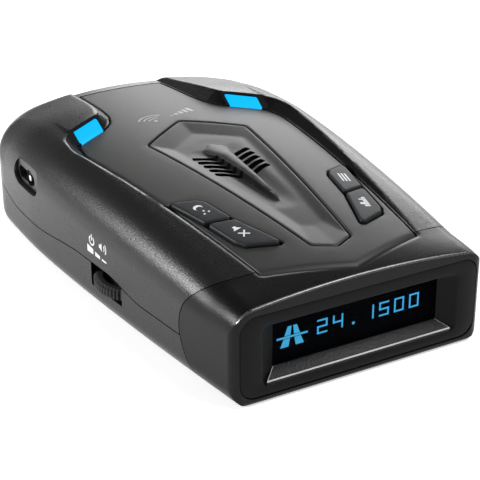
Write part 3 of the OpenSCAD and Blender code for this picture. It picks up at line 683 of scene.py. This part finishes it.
shell = copy_of(body, "shell")
cut(shell, behind, "INTERSECT")
cut(shell, cavity, keep=True)
upper = copy_of(shell, "housing_upper")
cut(upper, above, "INTERSECT")
cut(upper, deep(grow(PLATE_R, 0.28), "c", lambda x, y: plate_z(x, y) - PLATE_T - 0.02))
cut(upper, deep(grow(PAIR_R, 0.8), "c", lambda x, y: np.full_like(x, 18.0)))
cut(upper, deep(flip(grow(PAIR_R, 0.8)), "c", lambda x, y: np.full_like(x, 18.0)))
cut(upper, deep(grow(GRILLE_R, -0.9), "c", lambda x, y: plate_z(x, y) - 2.8))
cut(upper, disc("c", (0, -8), 10.2, 18, 30))
for poly in (FRAME, flip(FRAME)):
    cut(upper, prism("c", grow(ccw(fillet(poly, 0.4)), 0.02), 18, 45))
cut(upper, flared_pill("c", -60, -25))
cut(upper, disc("c", WHEEL_C, WHEEL_R + 0.6, 0, WHEEL_Z + WHEEL_T + 1.5))
for sx in (1, -1):
    cut(upper, crease(sx))
cut(upper, box_piece("c", 16, 31, 50, 62, 8.5, 17.5))
finish_piece(upper, "shell", "housing", "shell_plastic", "upper_housing")
# Painted shade: the steep wall faces of the valley round the top plate get the darker valley plastic instead
# of the shell plastic.
upper.data.materials.append(MAT["valley"])
centres = np.array([tuple(f.center) for f in upper.data.polygons]) / MM
ups = np.array([f.normal.z for f in upper.data.polygons])
spot = centres[:, :2]
shade_painted_faces = (centres[:, 2] > plate_z(*spot.T) + 0.1) & (ups < 0.9) & (distance(spot, VALLEY_R) < 4.5)
shade_painted_faces &= (np.abs(valley_wall(*spot.T) - centres[:, 2]) < 0.12) & (spot[:, 1] < 30)
for k in np.flatnonzero(shade_painted_faces):
    upper.data.polygons[k].material_index = 1

lower = shell
lower.name = "housing_lower"
cut(lower, below, "INTERSECT")
channel = box_piece("channel", -14, 14, 37.9, 55.2, 1.0, 7.0)
cut(lower, channel, "UNION")
cut(lower, box_piece("c", -12, 12, 40, 70, 1.6, 6.0))
cut(lower, box_piece("c", -6.4, 6.4, 29.6, 38, -1, 4))
cut(lower, box_piece("c", 16, 31, 50, 62, 8.5, 17.5))
cut(lower, disc("c", WHEEL_C, WHEEL_R + 0.6, WHEEL_Z - 0.5, 14))
cut(lower, box_piece("c", -18, 18, -24, 16, -1, 0.25))
for p in CASE_SCREWS:
    cut(lower, disc("c", p, 2.8, -1, 5, 32))
finish_piece(lower, "shell", "housing", "shell_plastic", "lower_housing")

cap = copy_of(body, "cap")
drop(body)
cut(cap, before, "INTERSECT")
back_hollow = copy_of(cavity, "c")
cut(back_hollow, box_piece("c2", -50, 50, -51.8, 40, -1, 40), "INTERSECT")
cut(cap, back_hollow)
drop(cavity)


def fascia_prism(name, g, y0, y1):
    loop = round_rect(26.8 + g, 1.3 - g, 18.6 + g, 3.4 + g, 10)
    return mesh_object(name, *loft([[(x, y, z) for x, z in loop] for y in (y1, y0)]))


cut(cap, fascia_prism("c", 0.0, -60, -53))
cut(cap, mesh_object("c", *loft([[(x, y, z) for x, z in round_rect(25.4, 3, 17.2, 3, 8)]
                                 for y in (-50, -60)])))
cut(cap, deep(grow(PLATE_R, 0.4), "c", lambda x, y: plate_z(x, y) - PLATE_T - 0.02))
finish_piece(cap, "cap", "housing", "cap_plastic", "front_cap")
# Painted highlight: the faces of the rounded top front edge of the cap get the lighter rim plastic, for a
# bright line along the edge.
cap.data.materials.append(MAT["cap_rim_highlight"])
for f in cap.data.polygons:
    if f.center.y < (Y_FRONT + FRONT_EDGE_R) * MM and 0.3 < f.normal.z < 0.95 and f.center.z > 17 * MM:
        f.material_index = 1

# ------------------------------------------------------------------ top plate and loudspeaker plate
EDGE = 0.4
edge_rings = [0.01, 0.05, 0.12, 0.22, 0.32, 0.4]


def rounded_top(edges, r, rise=lambda x, y: 0.0):
    """Top surface that follows plate_z and rolls over with radius r at the given outlines."""
    def top(x, y):
        p = np.stack([x, y], 1)
        d = np.minimum.reduce([distance(p, e) for e in edges])
        return plate_z(x, y) + rise(x, y) - round_drop(d, r)
    return top


CHEVRON = np.array([(-SEAM_X, SEAM_Y), (0, -54.7), (SEAM_X, SEAM_Y), (0, -54.7)])
CHEVRON_ROLL, CHEVRON_FALL = 1.6, 1.1


def chevron_drop(x, y):
    """Wide roll along the pointed front edge of the top plate."""
    return CHEVRON_FALL * round_drop(distance(np.stack([x, y], 1), CHEVRON) / CHEVRON_ROLL, 1.0)


def plate_top(x, y):
    rolled = rounded_top([plate_edge] + holes, EDGE)(x, y)
    return np.minimum(rolled, plate_z(x, y) - chevron_drop(x, y))


plate_edge = resample(PLATE_R, 1.0)
holes = [resample(h, 0.8) for h in (grow(ccw(GRILLE_R), 0.16), PAIR_R, flip(PAIR_R))]
holes = [ccw(h) for h in holes]
plate = mesh_object("plate", *field_solid(
    plate_edge, lambda x, y: plate_z(x, y) - PLATE_T, plate_top, holes=holes,
    loops=[grow(plate_edge, -s) for s in edge_rings + [0.6, 0.9, 1.25, 1.7]]
    + [grow(h, s) for h in holes for s in edge_rings],
    step=2.0))
finish_piece(plate, "plate", "housing", "plate_plastic", "top_plate")

DIP = np.array([(0, -38.5), (3.4, -36), (8.0, 6.2), (0, 12.2), (-8.0, 6.2), (-3.4, -36)], float)
DIP_D = 1.0
SPINE_HALF = [(0, 4.6), (3.5, 2.4), (1.9, -3), (1.1, -12.5), (0.5, -22), (0.15, -27.2)]
SPINE = ccw(np.array(SPINE_HALF + [(-x, y) for x, y in SPINE_HALF[:0:-1]], float))


def facet_height(p):
    """Height over the plate surface of the sloping faces round the rim and of the floor that they enclose."""
    slope = np.full(len(p), 1e9)
    for i, a in enumerate(GRILLE):
        b, c = GRILLE[(i + 1) % len(GRILLE)], DIP[i]
        u = (b - a) / np.linalg.norm(b - a)
        nrm = np.array([-u[1], u[0]])
        slope = np.minimum(slope, ((p - a) @ nrm) / float((c - a) @ nrm))
    near = 1 - ease((distance(p, SPINE) - 0.5) / 3.6)
    scoop = np.interp(p[:, 1], [-30, -24, -13, -6, 0, 3], [0, 0.5, 0.75, 0.4, 0.35, 0.1])
    return -DIP_D * np.clip(slope, 0, 1) - scoop * near * ~inside(p, SPINE) - scoop * inside(p, SPINE)


def spine_height(p):
    """Height over the plate surface of the spine: a crowned top that falls at both ends, and steep flanks."""
    y = p[:, 1]
    half = np.interp(y, [-27.2, -22, -12.5, -3, 2.4, 4.6], [0.15, 0.5, 1.1, 1.9, 3.5, 0.3])
    top = np.interp(y, [-27.2, -24, -15, -3, 4.6], [-1.6, -0.55, -0.15, -0.1, -0.8])
    across_top = np.clip(np.abs(p[:, 0]) / half, 0, 1)
    out = distance(p, SPINE) * np.where(inside(p, SPINE), -1, 1)
    return top - 0.2 * half * across_top ** 2 - 2.6 * (out + np.sqrt(out * out + 0.012))


GRILLE_EDGE = 0.75


def grille_top(x, y):
    p = np.stack([x, y], 1)
    f, s = facet_height(p), spine_height(p)
    k = 0.08
    h = np.clip(0.5 + 0.5 * (f - s) / k, 0, 1)
    both = s * (1 - h) + f * h + k * h * (1 - h)
    return plate_z(x, y) + both - round_drop(distance(p, GRILLE_R), GRILLE_EDGE)


g_edge = resample(ccw(GRILLE_R), 0.7)
lines = [resample(np.array([GRILLE[i] * 0.96, DIP[i]]), 0.8, False) for i in range(6)]
loops = [grow(g_edge, -s) for s in (0.01, 0.05, 0.12, 0.24, 0.4, 0.57, 0.75)]
loops += [resample(ccw(DIP), 0.7)]
loops += [resample(grow(SPINE, s), 0.6) for s in (-0.1, 0.0, 0.1, 0.22, 0.34, 0.6)]
grille = mesh_object("grille_plate", *field_solid(
    g_edge, lambda x, y: plate_z(x, y) - 2.7, grille_top, loops=loops, lines=lines, step=0.7), sharp=40)
SLOT_PITCH, SLOT_COUNT = 2.35, 5
for sx in (1, -1):
    for i in range(SLOT_COUNT):
        y = -0.9 - SLOT_PITCH * i
        mid = np.array([(6.9 - 0.1 * i, y), (4.6 - 0.1 * i, y - 0.75),
                        (2.6 - 0.14 * i, y - 1.6), (1.9 - 0.2 * i, y - 2.35)])
        half_w = [0.78, 0.8, 0.7, 0.5]
        left, rght = [], []
        for k, q in enumerate(mid):
            t = mid[min(k + 1, 3)] - mid[max(k - 1, 0)]
            nrm = np.array([-t[1], t[0]]) / np.linalg.norm(t) * half_w[k]
            left.append(q + nrm)
            rght.append(q - nrm)
        poly = fillet(np.array(left + rght[::-1]), 0.4, 5) * [sx, 1]
        cut(grille, prism("c", poly, 15, 40), sharp=40)
finish_piece(grille, "grille", "housing", "plate_plastic", "speaker_plate")
# Painted shade: the steep faces of the loudspeaker plate, the spine flanks and the slot walls, get the darker
# valley plastic.
grille.data.materials.append(MAT["valley"])
for f in grille.data.polygons:
    if abs(f.normal.z) < 0.8:
        f.material_index = 1

# ------------------------------------------------------------------ keys
PROUD, GAP = 0.5, 0.35
REAR_KEY = np.array([(12.75, -29.95), (18.95, -28.05), (21.6, -16.6), (15.6, -19.3), (14.3, -21.3)], float)
FRONT_KEY = np.array([(18.8, -28.7), (12.6, -30.6), (8.3, -43.1), (15.9, -39.9), (17.2, -37.6)], float)


def edge_shift(poly, a, b):
    """Moves the first edge of an outline by a and all the others by b."""
    n = len(poly)
    out = []
    for i in range(n):
        p, q, r = poly[i - 1], poly[i], poly[(i + 1) % n]
        u, v = (q - p) / np.linalg.norm(q - p), (r - q) / np.linalg.norm(r - q)
        m1, m2 = np.array([u[1], -u[0]]), np.array([v[1], -v[0]])
        d1, d2 = (a if i == 1 else b), (a if i == 0 else b)
        k = m1[0] * m2[1] - m1[1] * m2[0]
        out.append(q + np.array([(d1 * m2[1] - d2 * m1[1]) / k, (d2 * m1[0] - d1 * m2[0]) / k]))
    return np.array(out)


def key_piece(name, outline_, sx, node, body_name):
    turn = 1 if area(outline_) > 0 else -1
    shape = ccw(fillet(edge_shift(outline_, 0, -GAP * turn)[::turn], 0.7) * [sx, 1])
    edge = resample(shape, 0.6)
    rolls = (0.01, 0.06, 0.14, 0.26, 0.4, 0.5)
    obj = mesh_object(name, *field_solid(
        edge, lambda x, y: plate_z(x, y) - PLATE_T - 0.3, rounded_top([edge], 0.5, lambda x, y: PROUD),
        loops=[grow(edge, -s) for s in rolls], step=1.2))
    finish_piece(obj, "key", body_name, "key_plastic", node)


REAR_STEM, FRONT_STEM = (16.9, -23.8), (14.3, -35.0)
KEYS = [("dark", REAR_KEY, REAR_STEM, -1), ("quiet", FRONT_KEY, FRONT_STEM, -1),
        ("menu", REAR_KEY, REAR_STEM, 1), ("city", FRONT_KEY, FRONT_STEM, 1)]
for name, poly, stem, sx in KEYS:
    key_piece("key_" + name, poly, sx, name + "_button", name + "_key")


# ------------------------------------------------------------------ printed marks
def decal(name, shapes, frame_at, height, thick, mat, body_name, slot):
    """Thin printed shapes. frame_at maps local (u, v) to (x, y); height gives z there."""
    verts, faces = [], []
    for shape in shapes:
        poly = ccw(shape)
        poly = ccw(np.array([frame_at(u, v) for u, v in resample(poly, 0.4)]))
        v, f = triangulate(poly, step=0.6)
        n, base = len(v), len(verts)
        z = height(v[:, 0], v[:, 1])
        verts += [(x, y, h - 0.02) for (x, y), h in zip(v, z)]
        verts += [(x, y, h + thick) for (x, y), h in zip(v, z)]
        faces += [(base + c, base + b, base + a) for a, b, c in f]
        faces += [(base + n + a, base + n + b, base + n + c) for a, b, c in f]
        faces += [(base + a, base + b, base + n + b, base + n + a) for a, b in rim_edges(f)]
    obj = mesh_object(name, verts, faces)
    return finish_piece(obj, mat, body_name, slot)


def arc_pts(cx, cy, r, a0, a1, n=12):
    return [(cx + r * math.cos(math.radians(a0 + (a1 - a0) * i / n)),
             cy + r * math.sin(math.radians(a0 + (a1 - a0) * i / n)))
            for i in range(n + 1)]


def band(cx, cy, r, w, a0, a1, n=10):
    return arc_pts(cx, cy, r + w / 2, a0, a1, n) + arc_pts(cx, cy, r - w / 2, a1, a0, n)


def bar(x0, y0, x1, y1):
    return [(x0, y0), (x1, y0), (x1, y1), (x0, y1)]


def stroke(a, b, w):
    a, b = np.array(a, float), np.array(b, float)
    t = (b - a) / np.linalg.norm(b - a)
    nrm = np.array([-t[1], t[0]]) * w / 2
    return [tuple(a + nrm), tuple(a - nrm), tuple(b - nrm), tuple(b + nrm)]


ICON_LINE = 0.34
ICONS = {
    "dark": [arc_pts(-1.1, 0, 0.95, 50, 310, 14) + arc_pts(-0.55, 0, 0.78, 290, 70, 12),
             bar(0.5, -0.2, 0.9, 0.2), bar(1.4, 0.4, 1.8, 0.8), bar(1.5, -0.8, 1.9, -0.4)],
    "quiet": [[(-2.1, -0.35), (-1.5, -0.35), (-0.8, -0.95), (-0.8, 0.95), (-1.5, 0.35), (-2.1, 0.35)],
              stroke((0.2, -0.8), (1.9, 0.8), ICON_LINE), stroke((0.2, 0.8), (0.9, 0.15), ICON_LINE),
              stroke((1.2, -0.15), (1.9, -0.8), ICON_LINE)],
    "menu": [bar(-1.9, 0.55, 1.9, 0.9), bar(-1.9, -0.17, 1.9, 0.18), bar(-1.9, -0.9, 1.9, -0.55)],
    "city": [bar(-2.0, -0.9, -1.3, 0.3), bar(-1.1, -0.9, -0.3, 0.95), bar(-0.1, -0.9, 0.6, 0.0),
             bar(0.8, -0.9, 1.3, 0.7), bar(1.5, -0.9, 2.0, -0.1)],
}
for name, poly, stem, sx in KEYS:
    along = np.array([FRONT_STEM[0] - REAR_STEM[0], FRONT_STEM[1] - REAR_STEM[1]])
    along = along / np.linalg.norm(along) * [sx, 1]
    if sx > 0:
        along = -along
    upward = np.array([-along[1], along[0]])
    centre = np.array([stem[0] * sx, stem[1]])

    def place(u, v, c=centre, a=along, w=upward):
        return tuple(c + a * u + w * v)

    decal("legend_" + name, ICONS[name], place, lambda x, y: plate_z(x, y) + PROUD, 0.02, "ink",
          name + "_key", "key_plastic")

mark_a = np.array([0.98, 0.19])
mark_b = np.array([-0.19, 0.98])
mark_c = np.array([-0.5, 24.6])
waves = [band(-4.5, -2.2, r, ICON_LINE, 40, 140, 12) for r in (1.6, 2.8, 4.0)]
waves += [arc_pts(-4.5, -2.2, 0.5, 0, 360, 12)[:-1]]
waves += [bar(-0.2 + 1.5 * i, -2.1, 0.7 + 1.5 * i, -2.1 + 0.5 + 0.55 * i) for i in range(5)]
decal("plate_mark", waves, lambda u, v: tuple(mark_c + mark_a * u + mark_b * v), plate_z, 0.02, "mark",
      "housing", "plate_plastic")

# ------------------------------------------------------------------ alert windows
def window_z(x, y):
    return 26.2 + 0.129 * (np.abs(x) - 16.3) + 0.564 * (y - 24.7)


for side, sx in (("right", 1), ("left", -1)):
    fr = ccw(fillet(FRAME, 0.4) * [sx, 1])
    frame_obj = mesh_object(side + "_surround", *field_solid(
        resample(fr, 0.8), lambda x, y: np.full_like(x, 21.9), lambda x, y: window_z(x, y) + 0.25, step=1.5))
    lens_shape = ccw(fillet(LENS, 0.5) * [sx, 1])
    cut(frame_obj, mesh_object("c", *field_solid(resample(lens_shape, 0.8), lambda x, y: window_z(x, y) - 1.2,
                                                 lambda x, y: window_z(x, y) + 3, step=2)))
    finish_piece(frame_obj, "surround", "housing", "frame_plastic", side + "_window_frame")
    lens_edge = resample(grow(lens_shape, -0.03), 0.6)

    def lens_top(x, y, e=lens_edge):
        d = distance(np.stack([x, y], 1), e)
        return window_z(x, y) + 0.12 - round_drop(d, 0.25)

    lens = mesh_object(side + "_lens", *field_solid(
        lens_edge, lambda x, y: window_z(x, y) - 1.18, lens_top,
        loops=[grow(lens_edge, -s) for s in (0.04, 0.12, 0.25)], step=0.8))
    finish_piece(lens, "blue", "housing", "alert_plastic", side + "_alert_lens")

# ------------------------------------------------------------------ display end
def rect_loop(y, hw, z0, z1, r):
    return [(x, y, z) for x, z in round_rect(hw, z0, z1, r, 8)]


yf = Y_FRONT + 0.1
FASCIA_BACK = -53.0
loops = [rect_loop(FASCIA_BACK, 26.75, 1.35, 18.55, 3.35), rect_loop(yf + 0.3, 26.75, 1.35, 18.55, 3.35),
         rect_loop(yf + 0.08, 26.66, 1.44, 18.46, 3.3), rect_loop(yf, 26.45, 1.65, 18.25, 3.1),
         rect_loop(yf, 22.4, 3.25, 16.3, 1.5), rect_loop(yf + 0.06, 22.2, 3.4, 16.1, 1.45),
         rect_loop(yf + 0.2, 22.0, 3.5, 15.95, 1.4), rect_loop(Y_FRONT + RECESS_D, 18.7, 5.3, 15.0, 0.5),
         rect_loop(Y_FRONT + RECESS_D + 0.02, 20.2, 4.9, 16.1, 0.8),
         rect_loop(FASCIA_BACK, 20.2, 4.9, 16.1, 0.8)]
fascia = mesh_object("fascia", *ring_loft(loops), 28)
finish_piece(fascia, "fascia", "housing", "fascia_plastic", "display_fascia")

sill = across("sill", [(Y_FRONT + 0.12, 3.54), (Y_FRONT + RECESS_D - 0.01, 5.34),
                       (Y_FRONT + RECESS_D - 0.01, 6.0), (Y_FRONT + 0.12, 4.2)], -21.4, 21.4)
cut(sill, prism("c", [(-21.25, Y_FRONT), (21.25, Y_FRONT), (18.5, Y_FRONT + RECESS_D + 0.1),
                      (-18.5, Y_FRONT + RECESS_D + 0.1)], 0, 10), "INTERSECT")
rounded(sill, 0.16, 2)
finish_piece(sill, "sill", "housing", "sill_plastic", "display_sill")
# Painted highlight: the small upward faces of the bevelled front and side edges of the sill get the light
# grey edge plastic.
sill.data.materials.append(MAT["sill_edge_highlight"])
for f in sill.data.polygons:
    c = f.center / MM
    if f.area < 8e-6 and f.normal.z > 0.05 and (c.y < Y_FRONT + 0.35 or abs(c.x) > 18.4):
        f.material_index = 1

# lit characters behind the window
glyph_y = -52.96
SEG = {"a": ((0, 1), (1, 1)), "b": ((1, 1), (1, 0.5)), "c": ((1, 0.5), (1, 0)), "d": ((0, 0), (1, 0)),
       "e": ((0, 0), (0, 0.5)), "f": ((0, 1), (0, 0.5)), "g": ((0, 0.5), (1, 0.5))}
DIGIT = {"2": "abged", "4": "fgbc", "1": "bc", "5": "afgcd", "0": "abcdef"}
CHAR_W, CHAR_H, STROKE, PITCH = 1.95, 2.7, 0.34, 3.55
shapes = []


def glyph_bar(a, b, x0, z0):
    a = (x0 + a[0] * CHAR_W, z0 + a[1] * CHAR_H)
    b = (x0 + b[0] * CHAR_W, z0 + b[1] * CHAR_H)
    t = np.array(b) - np.array(a)
    t = t / np.linalg.norm(t) * STROKE / 2
    return stroke(tuple(np.array(a) - t), tuple(np.array(b) + t), STROKE)


x = -7.6
for ch in "24.1500":
    if ch == ".":
        shapes.append(bar(x + 0.7, 8.7, x + 1.25, 9.25))
        x += PITCH
        continue
    for s in DIGIT[ch]:
        shapes.append(glyph_bar(*SEG[s], x, 8.9))
    x += PITCH
road = [[(-15.9, 7.9), (-14.1, 7.9), (-13.8, 9.6), (-15.2, 9.6)],
        [(-12.5, 7.9), (-10.7, 7.9), (-11.4, 9.6), (-12.8, 9.6)],
        [(-15.0, 10.3), (-13.7, 10.3), (-13.5, 12.2), (-14.3, 12.2)],
        [(-12.9, 10.3), (-11.6, 10.3), (-12.3, 12.2), (-13.1, 12.2)],
        bar(-16.7, 9.75, -9.9, 10.15)]
verts, faces = [], []
for poly in shapes + road:
    poly = ccw(poly)
    b = len(verts)
    n = len(poly)
    verts += [(px, glyph_y - 0.06, pz) for px, pz in poly] + [(px, glyph_y, pz) for px, pz in poly]
    faces += [tuple(range(b, b + n)), tuple(range(b + 2 * n - 1, b + n - 1, -1))]
    faces += [(b + i, b + n + i, b + n + (i + 1) % n, b + (i + 1) % n) for i in range(n)]
glyphs = mesh_object("display_glyphs", verts, faces)
finish_piece(glyphs, "glow", "housing", "display_glass")

# ------------------------------------------------------------------ side legends
def side_decal(name, shapes, mat="ink"):
    """Shapes given in (y, z), laid on the left wall."""
    verts, faces = [], []
    for shape in shapes:
        poly = ccw(resample(ccw(shape), 0.4))
        v, f = triangulate(poly, step=0.6)
        n, base = len(v), len(verts)
        xw = -side_w(v[:, 0])
        verts += [(x + 0.02, y, z) for x, (y, z) in zip(xw, v)]
        verts += [(x - 0.02, y, z) for x, (y, z) in zip(xw, v)]
        faces += [(base + a, base + b, base + c) for a, b, c in f]
        faces += [(base + n + c, base + n + b, base + n + a) for a, b, c in f]
        faces += [(base + b, base + a, base + n + a, base + n + b) for a, b in rim_edges(f)]
    return finish_piece(mesh_object(name, verts, faces), mat, "housing", "key_plastic")


power = [band(-6.9, 15.6, 0.95, 0.36, 125, 415, 16), bar(-7.08, 15.6, -6.72, 17.0)]
spk = [[(-10.0, 15.2), (-10.5, 15.2), (-11.1, 14.6), (-11.1, 16.6), (-10.5, 16.0), (-10.0, 16.0)],
       band(-11.2, 15.6, 0.9, 0.3, 140, 220, 6), band(-11.2, 15.6, 1.6, 0.3, 140, 220, 8)]
wedge = [[(-4.9, 12.6), (-4.9, 14.2), (-7.4, 13.8), (-7.4, 12.6)],
         [(-8.2, 12.6), (-8.2, 13.6), (-10.2, 13.3), (-10.2, 12.6)],
         [(-11.0, 12.6), (-11.0, 13.1), (-12.8, 12.9), (-12.8, 12.6)]]
side_decal("wheel_legend", power + spk + wedge)

# ------------------------------------------------------------------ volume wheel
ribs = 64
na = ribs * 6
ang = np.arange(na) * 2 * math.pi / na


def wheel_loop(z, r_base, amp):
    saw = np.clip(np.abs(((np.arange(na) % 6) - 2.5)) / 2.5, 0, 1)
    r = r_base - amp * np.where(saw > 0.9, 1.0, np.where(saw > 0.5, 0.35, 0.0))
    return [(WHEEL_C[0] + rr * math.cos(t), WHEEL_C[1] + rr * math.sin(t), WHEEL_Z + z)
            for rr, t in zip(r, ang)]


def ring_loop(z, r):
    return [(WHEEL_C[0] + r * math.cos(t), WHEEL_C[1] + r * math.sin(t), WHEEL_Z + z) for t in ang]


BORE_R, BOSS_R, DISH_R, FLAT_R, EDGE_R = 2.05, 3.6, 7.6, 8.6, 9.1
loops_w = [ring_loop(0, BORE_R), ring_loop(0, FLAT_R), wheel_loop(0.25, EDGE_R, 0.2),
           wheel_loop(0.5, WHEEL_R, 0.55), wheel_loop(WHEEL_T - 0.5, WHEEL_R, 0.55),
           wheel_loop(WHEEL_T - 0.25, EDGE_R, 0.2), ring_loop(WHEEL_T, FLAT_R), ring_loop(WHEEL_T, DISH_R),
           ring_loop(WHEEL_T - 1, DISH_R), ring_loop(WHEEL_T - 1, BOSS_R), ring_loop(WHEEL_T, BOSS_R),
           ring_loop(WHEEL_T, BORE_R)]
wheel = mesh_object("wheel", *ring_loft(loops_w), 30)
finish_piece(wheel, "wheel", "volume_control", "wheel_plastic", "volume_wheel")

# ------------------------------------------------------------------ materials of the pieces kept from the CAD
KEPT = {
    "display_window": "smoke", "left_light_guide": "clear", "right_light_guide": "clear",
    "alert_leds": "led", "volume_pot": "pot", "wheel_clip": "steel", "power_socket": "socket",
    "socket_pin": "pin", "main_board": "board", "tact_switches": "chip", "board_chips": "chip",
    "board_capacitors": "can",
    "display_holder": "mask", "display_glass": "panel", "display_board": "board", "display_ribbon": "film",
    "horn_antenna": "cast", "mixer_board": "board", "rf_shield": "steel", "laser_window": "laser",
    "laser_lens": "clear", "laser_sensor": "chip", "speaker_felt": "felt", "speaker_frame": "dark_steel",
    "speaker_cone": "paper", "speaker_magnet": "ferrite", "bracket_release": "release",
    "rating_label": "label", "housing_screws": "dark_steel", "board_screws": "steel",
    "antenna_screws": "steel",
}
for node, mat in KEPT.items():
    dress(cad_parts[node], mat)


# ------------------------------------------------------------------ studio
def flat(name, size, z, colour):
    mesh = bpy.data.meshes.new(name)
    mesh.from_pydata([(-size, -size, z), (size, -size, z), (size, size, z), (-size, size, z)], [],
                     [(0, 1, 2, 3)])
    obj = bpy.data.objects.new(name, mesh)
    SCENE.collection.objects.link(obj)
    mat = bpy.data.materials.new(name)
    mat.use_nodes = True
    shader = mat.node_tree.nodes["Principled BSDF"]
    shader.inputs["Base Color"].default_value = (*colour, 1)
    shader.inputs["Roughness"].default_value = 0.9
    shader.inputs["Specular IOR Level"].default_value = 0.1
    shader.inputs["Emission Color"].default_value = (1, 1, 1, 1)
    shader.inputs["Emission Strength"].default_value = 0.55
    mesh.materials.append(mat)
    return obj


flat("floor", 3.0, -0.0001, (0.86, 0.86, 0.86))


def softbox(name, place_at, target, size, power_w, colour=(1, 1, 1)):
    data = bpy.data.lights.new(name, "AREA")
    data.shape = "RECTANGLE"
    data.size, data.size_y = size
    data.energy = power_w
    data.color = colour
    lamp = bpy.data.objects.new(name, data)
    SCENE.collection.objects.link(lamp)
    lamp.location = place_at
    lamp.rotation_euler = (Vector(target) - Vector(place_at)).to_track_quat("-Z", "Y").to_euler()
    return lamp


softbox("back_right_box", (0.72, 0.93, 0.36), (0, 0, 0.02), (0.8, 0.42), 5.0)
softbox("back_left_box", (-0.81, 0.45, 0.40), (-0.03, -0.04, 0.02), (0.32, 0.32), 9.5)
softbox("front_right_box", (0.47, -0.36, 0.90), (0, 0, 0.01), (0.6, 0.3), 7.5)
world = bpy.data.worlds.new("studio")
world.use_nodes = True
wn = world.node_tree
sky = wn.nodes["Background"]
sky.inputs["Color"].default_value = (1.0, 1.0, 1.0, 1)
towards = wn.nodes.new("ShaderNodeTexCoord")
split = wn.nodes.new("ShaderNodeSeparateXYZ")
ramp = wn.nodes.new("ShaderNodeMapRange")
ramp.interpolation_type = "SMOOTHSTEP"
for key_, value in (("From Min", 0.12), ("From Max", 0.42), ("To Min", 0.38), ("To Max", 0.17)):
    ramp.inputs[key_].default_value = value
wn.links.new(towards.outputs["Generated"], split.inputs["Vector"])
wn.links.new(split.outputs["Z"], ramp.inputs["Value"])
wn.links.new(ramp.outputs["Result"], sky.inputs["Strength"])
SCENE.world = world
SCENE.view_settings.view_transform = "Standard"
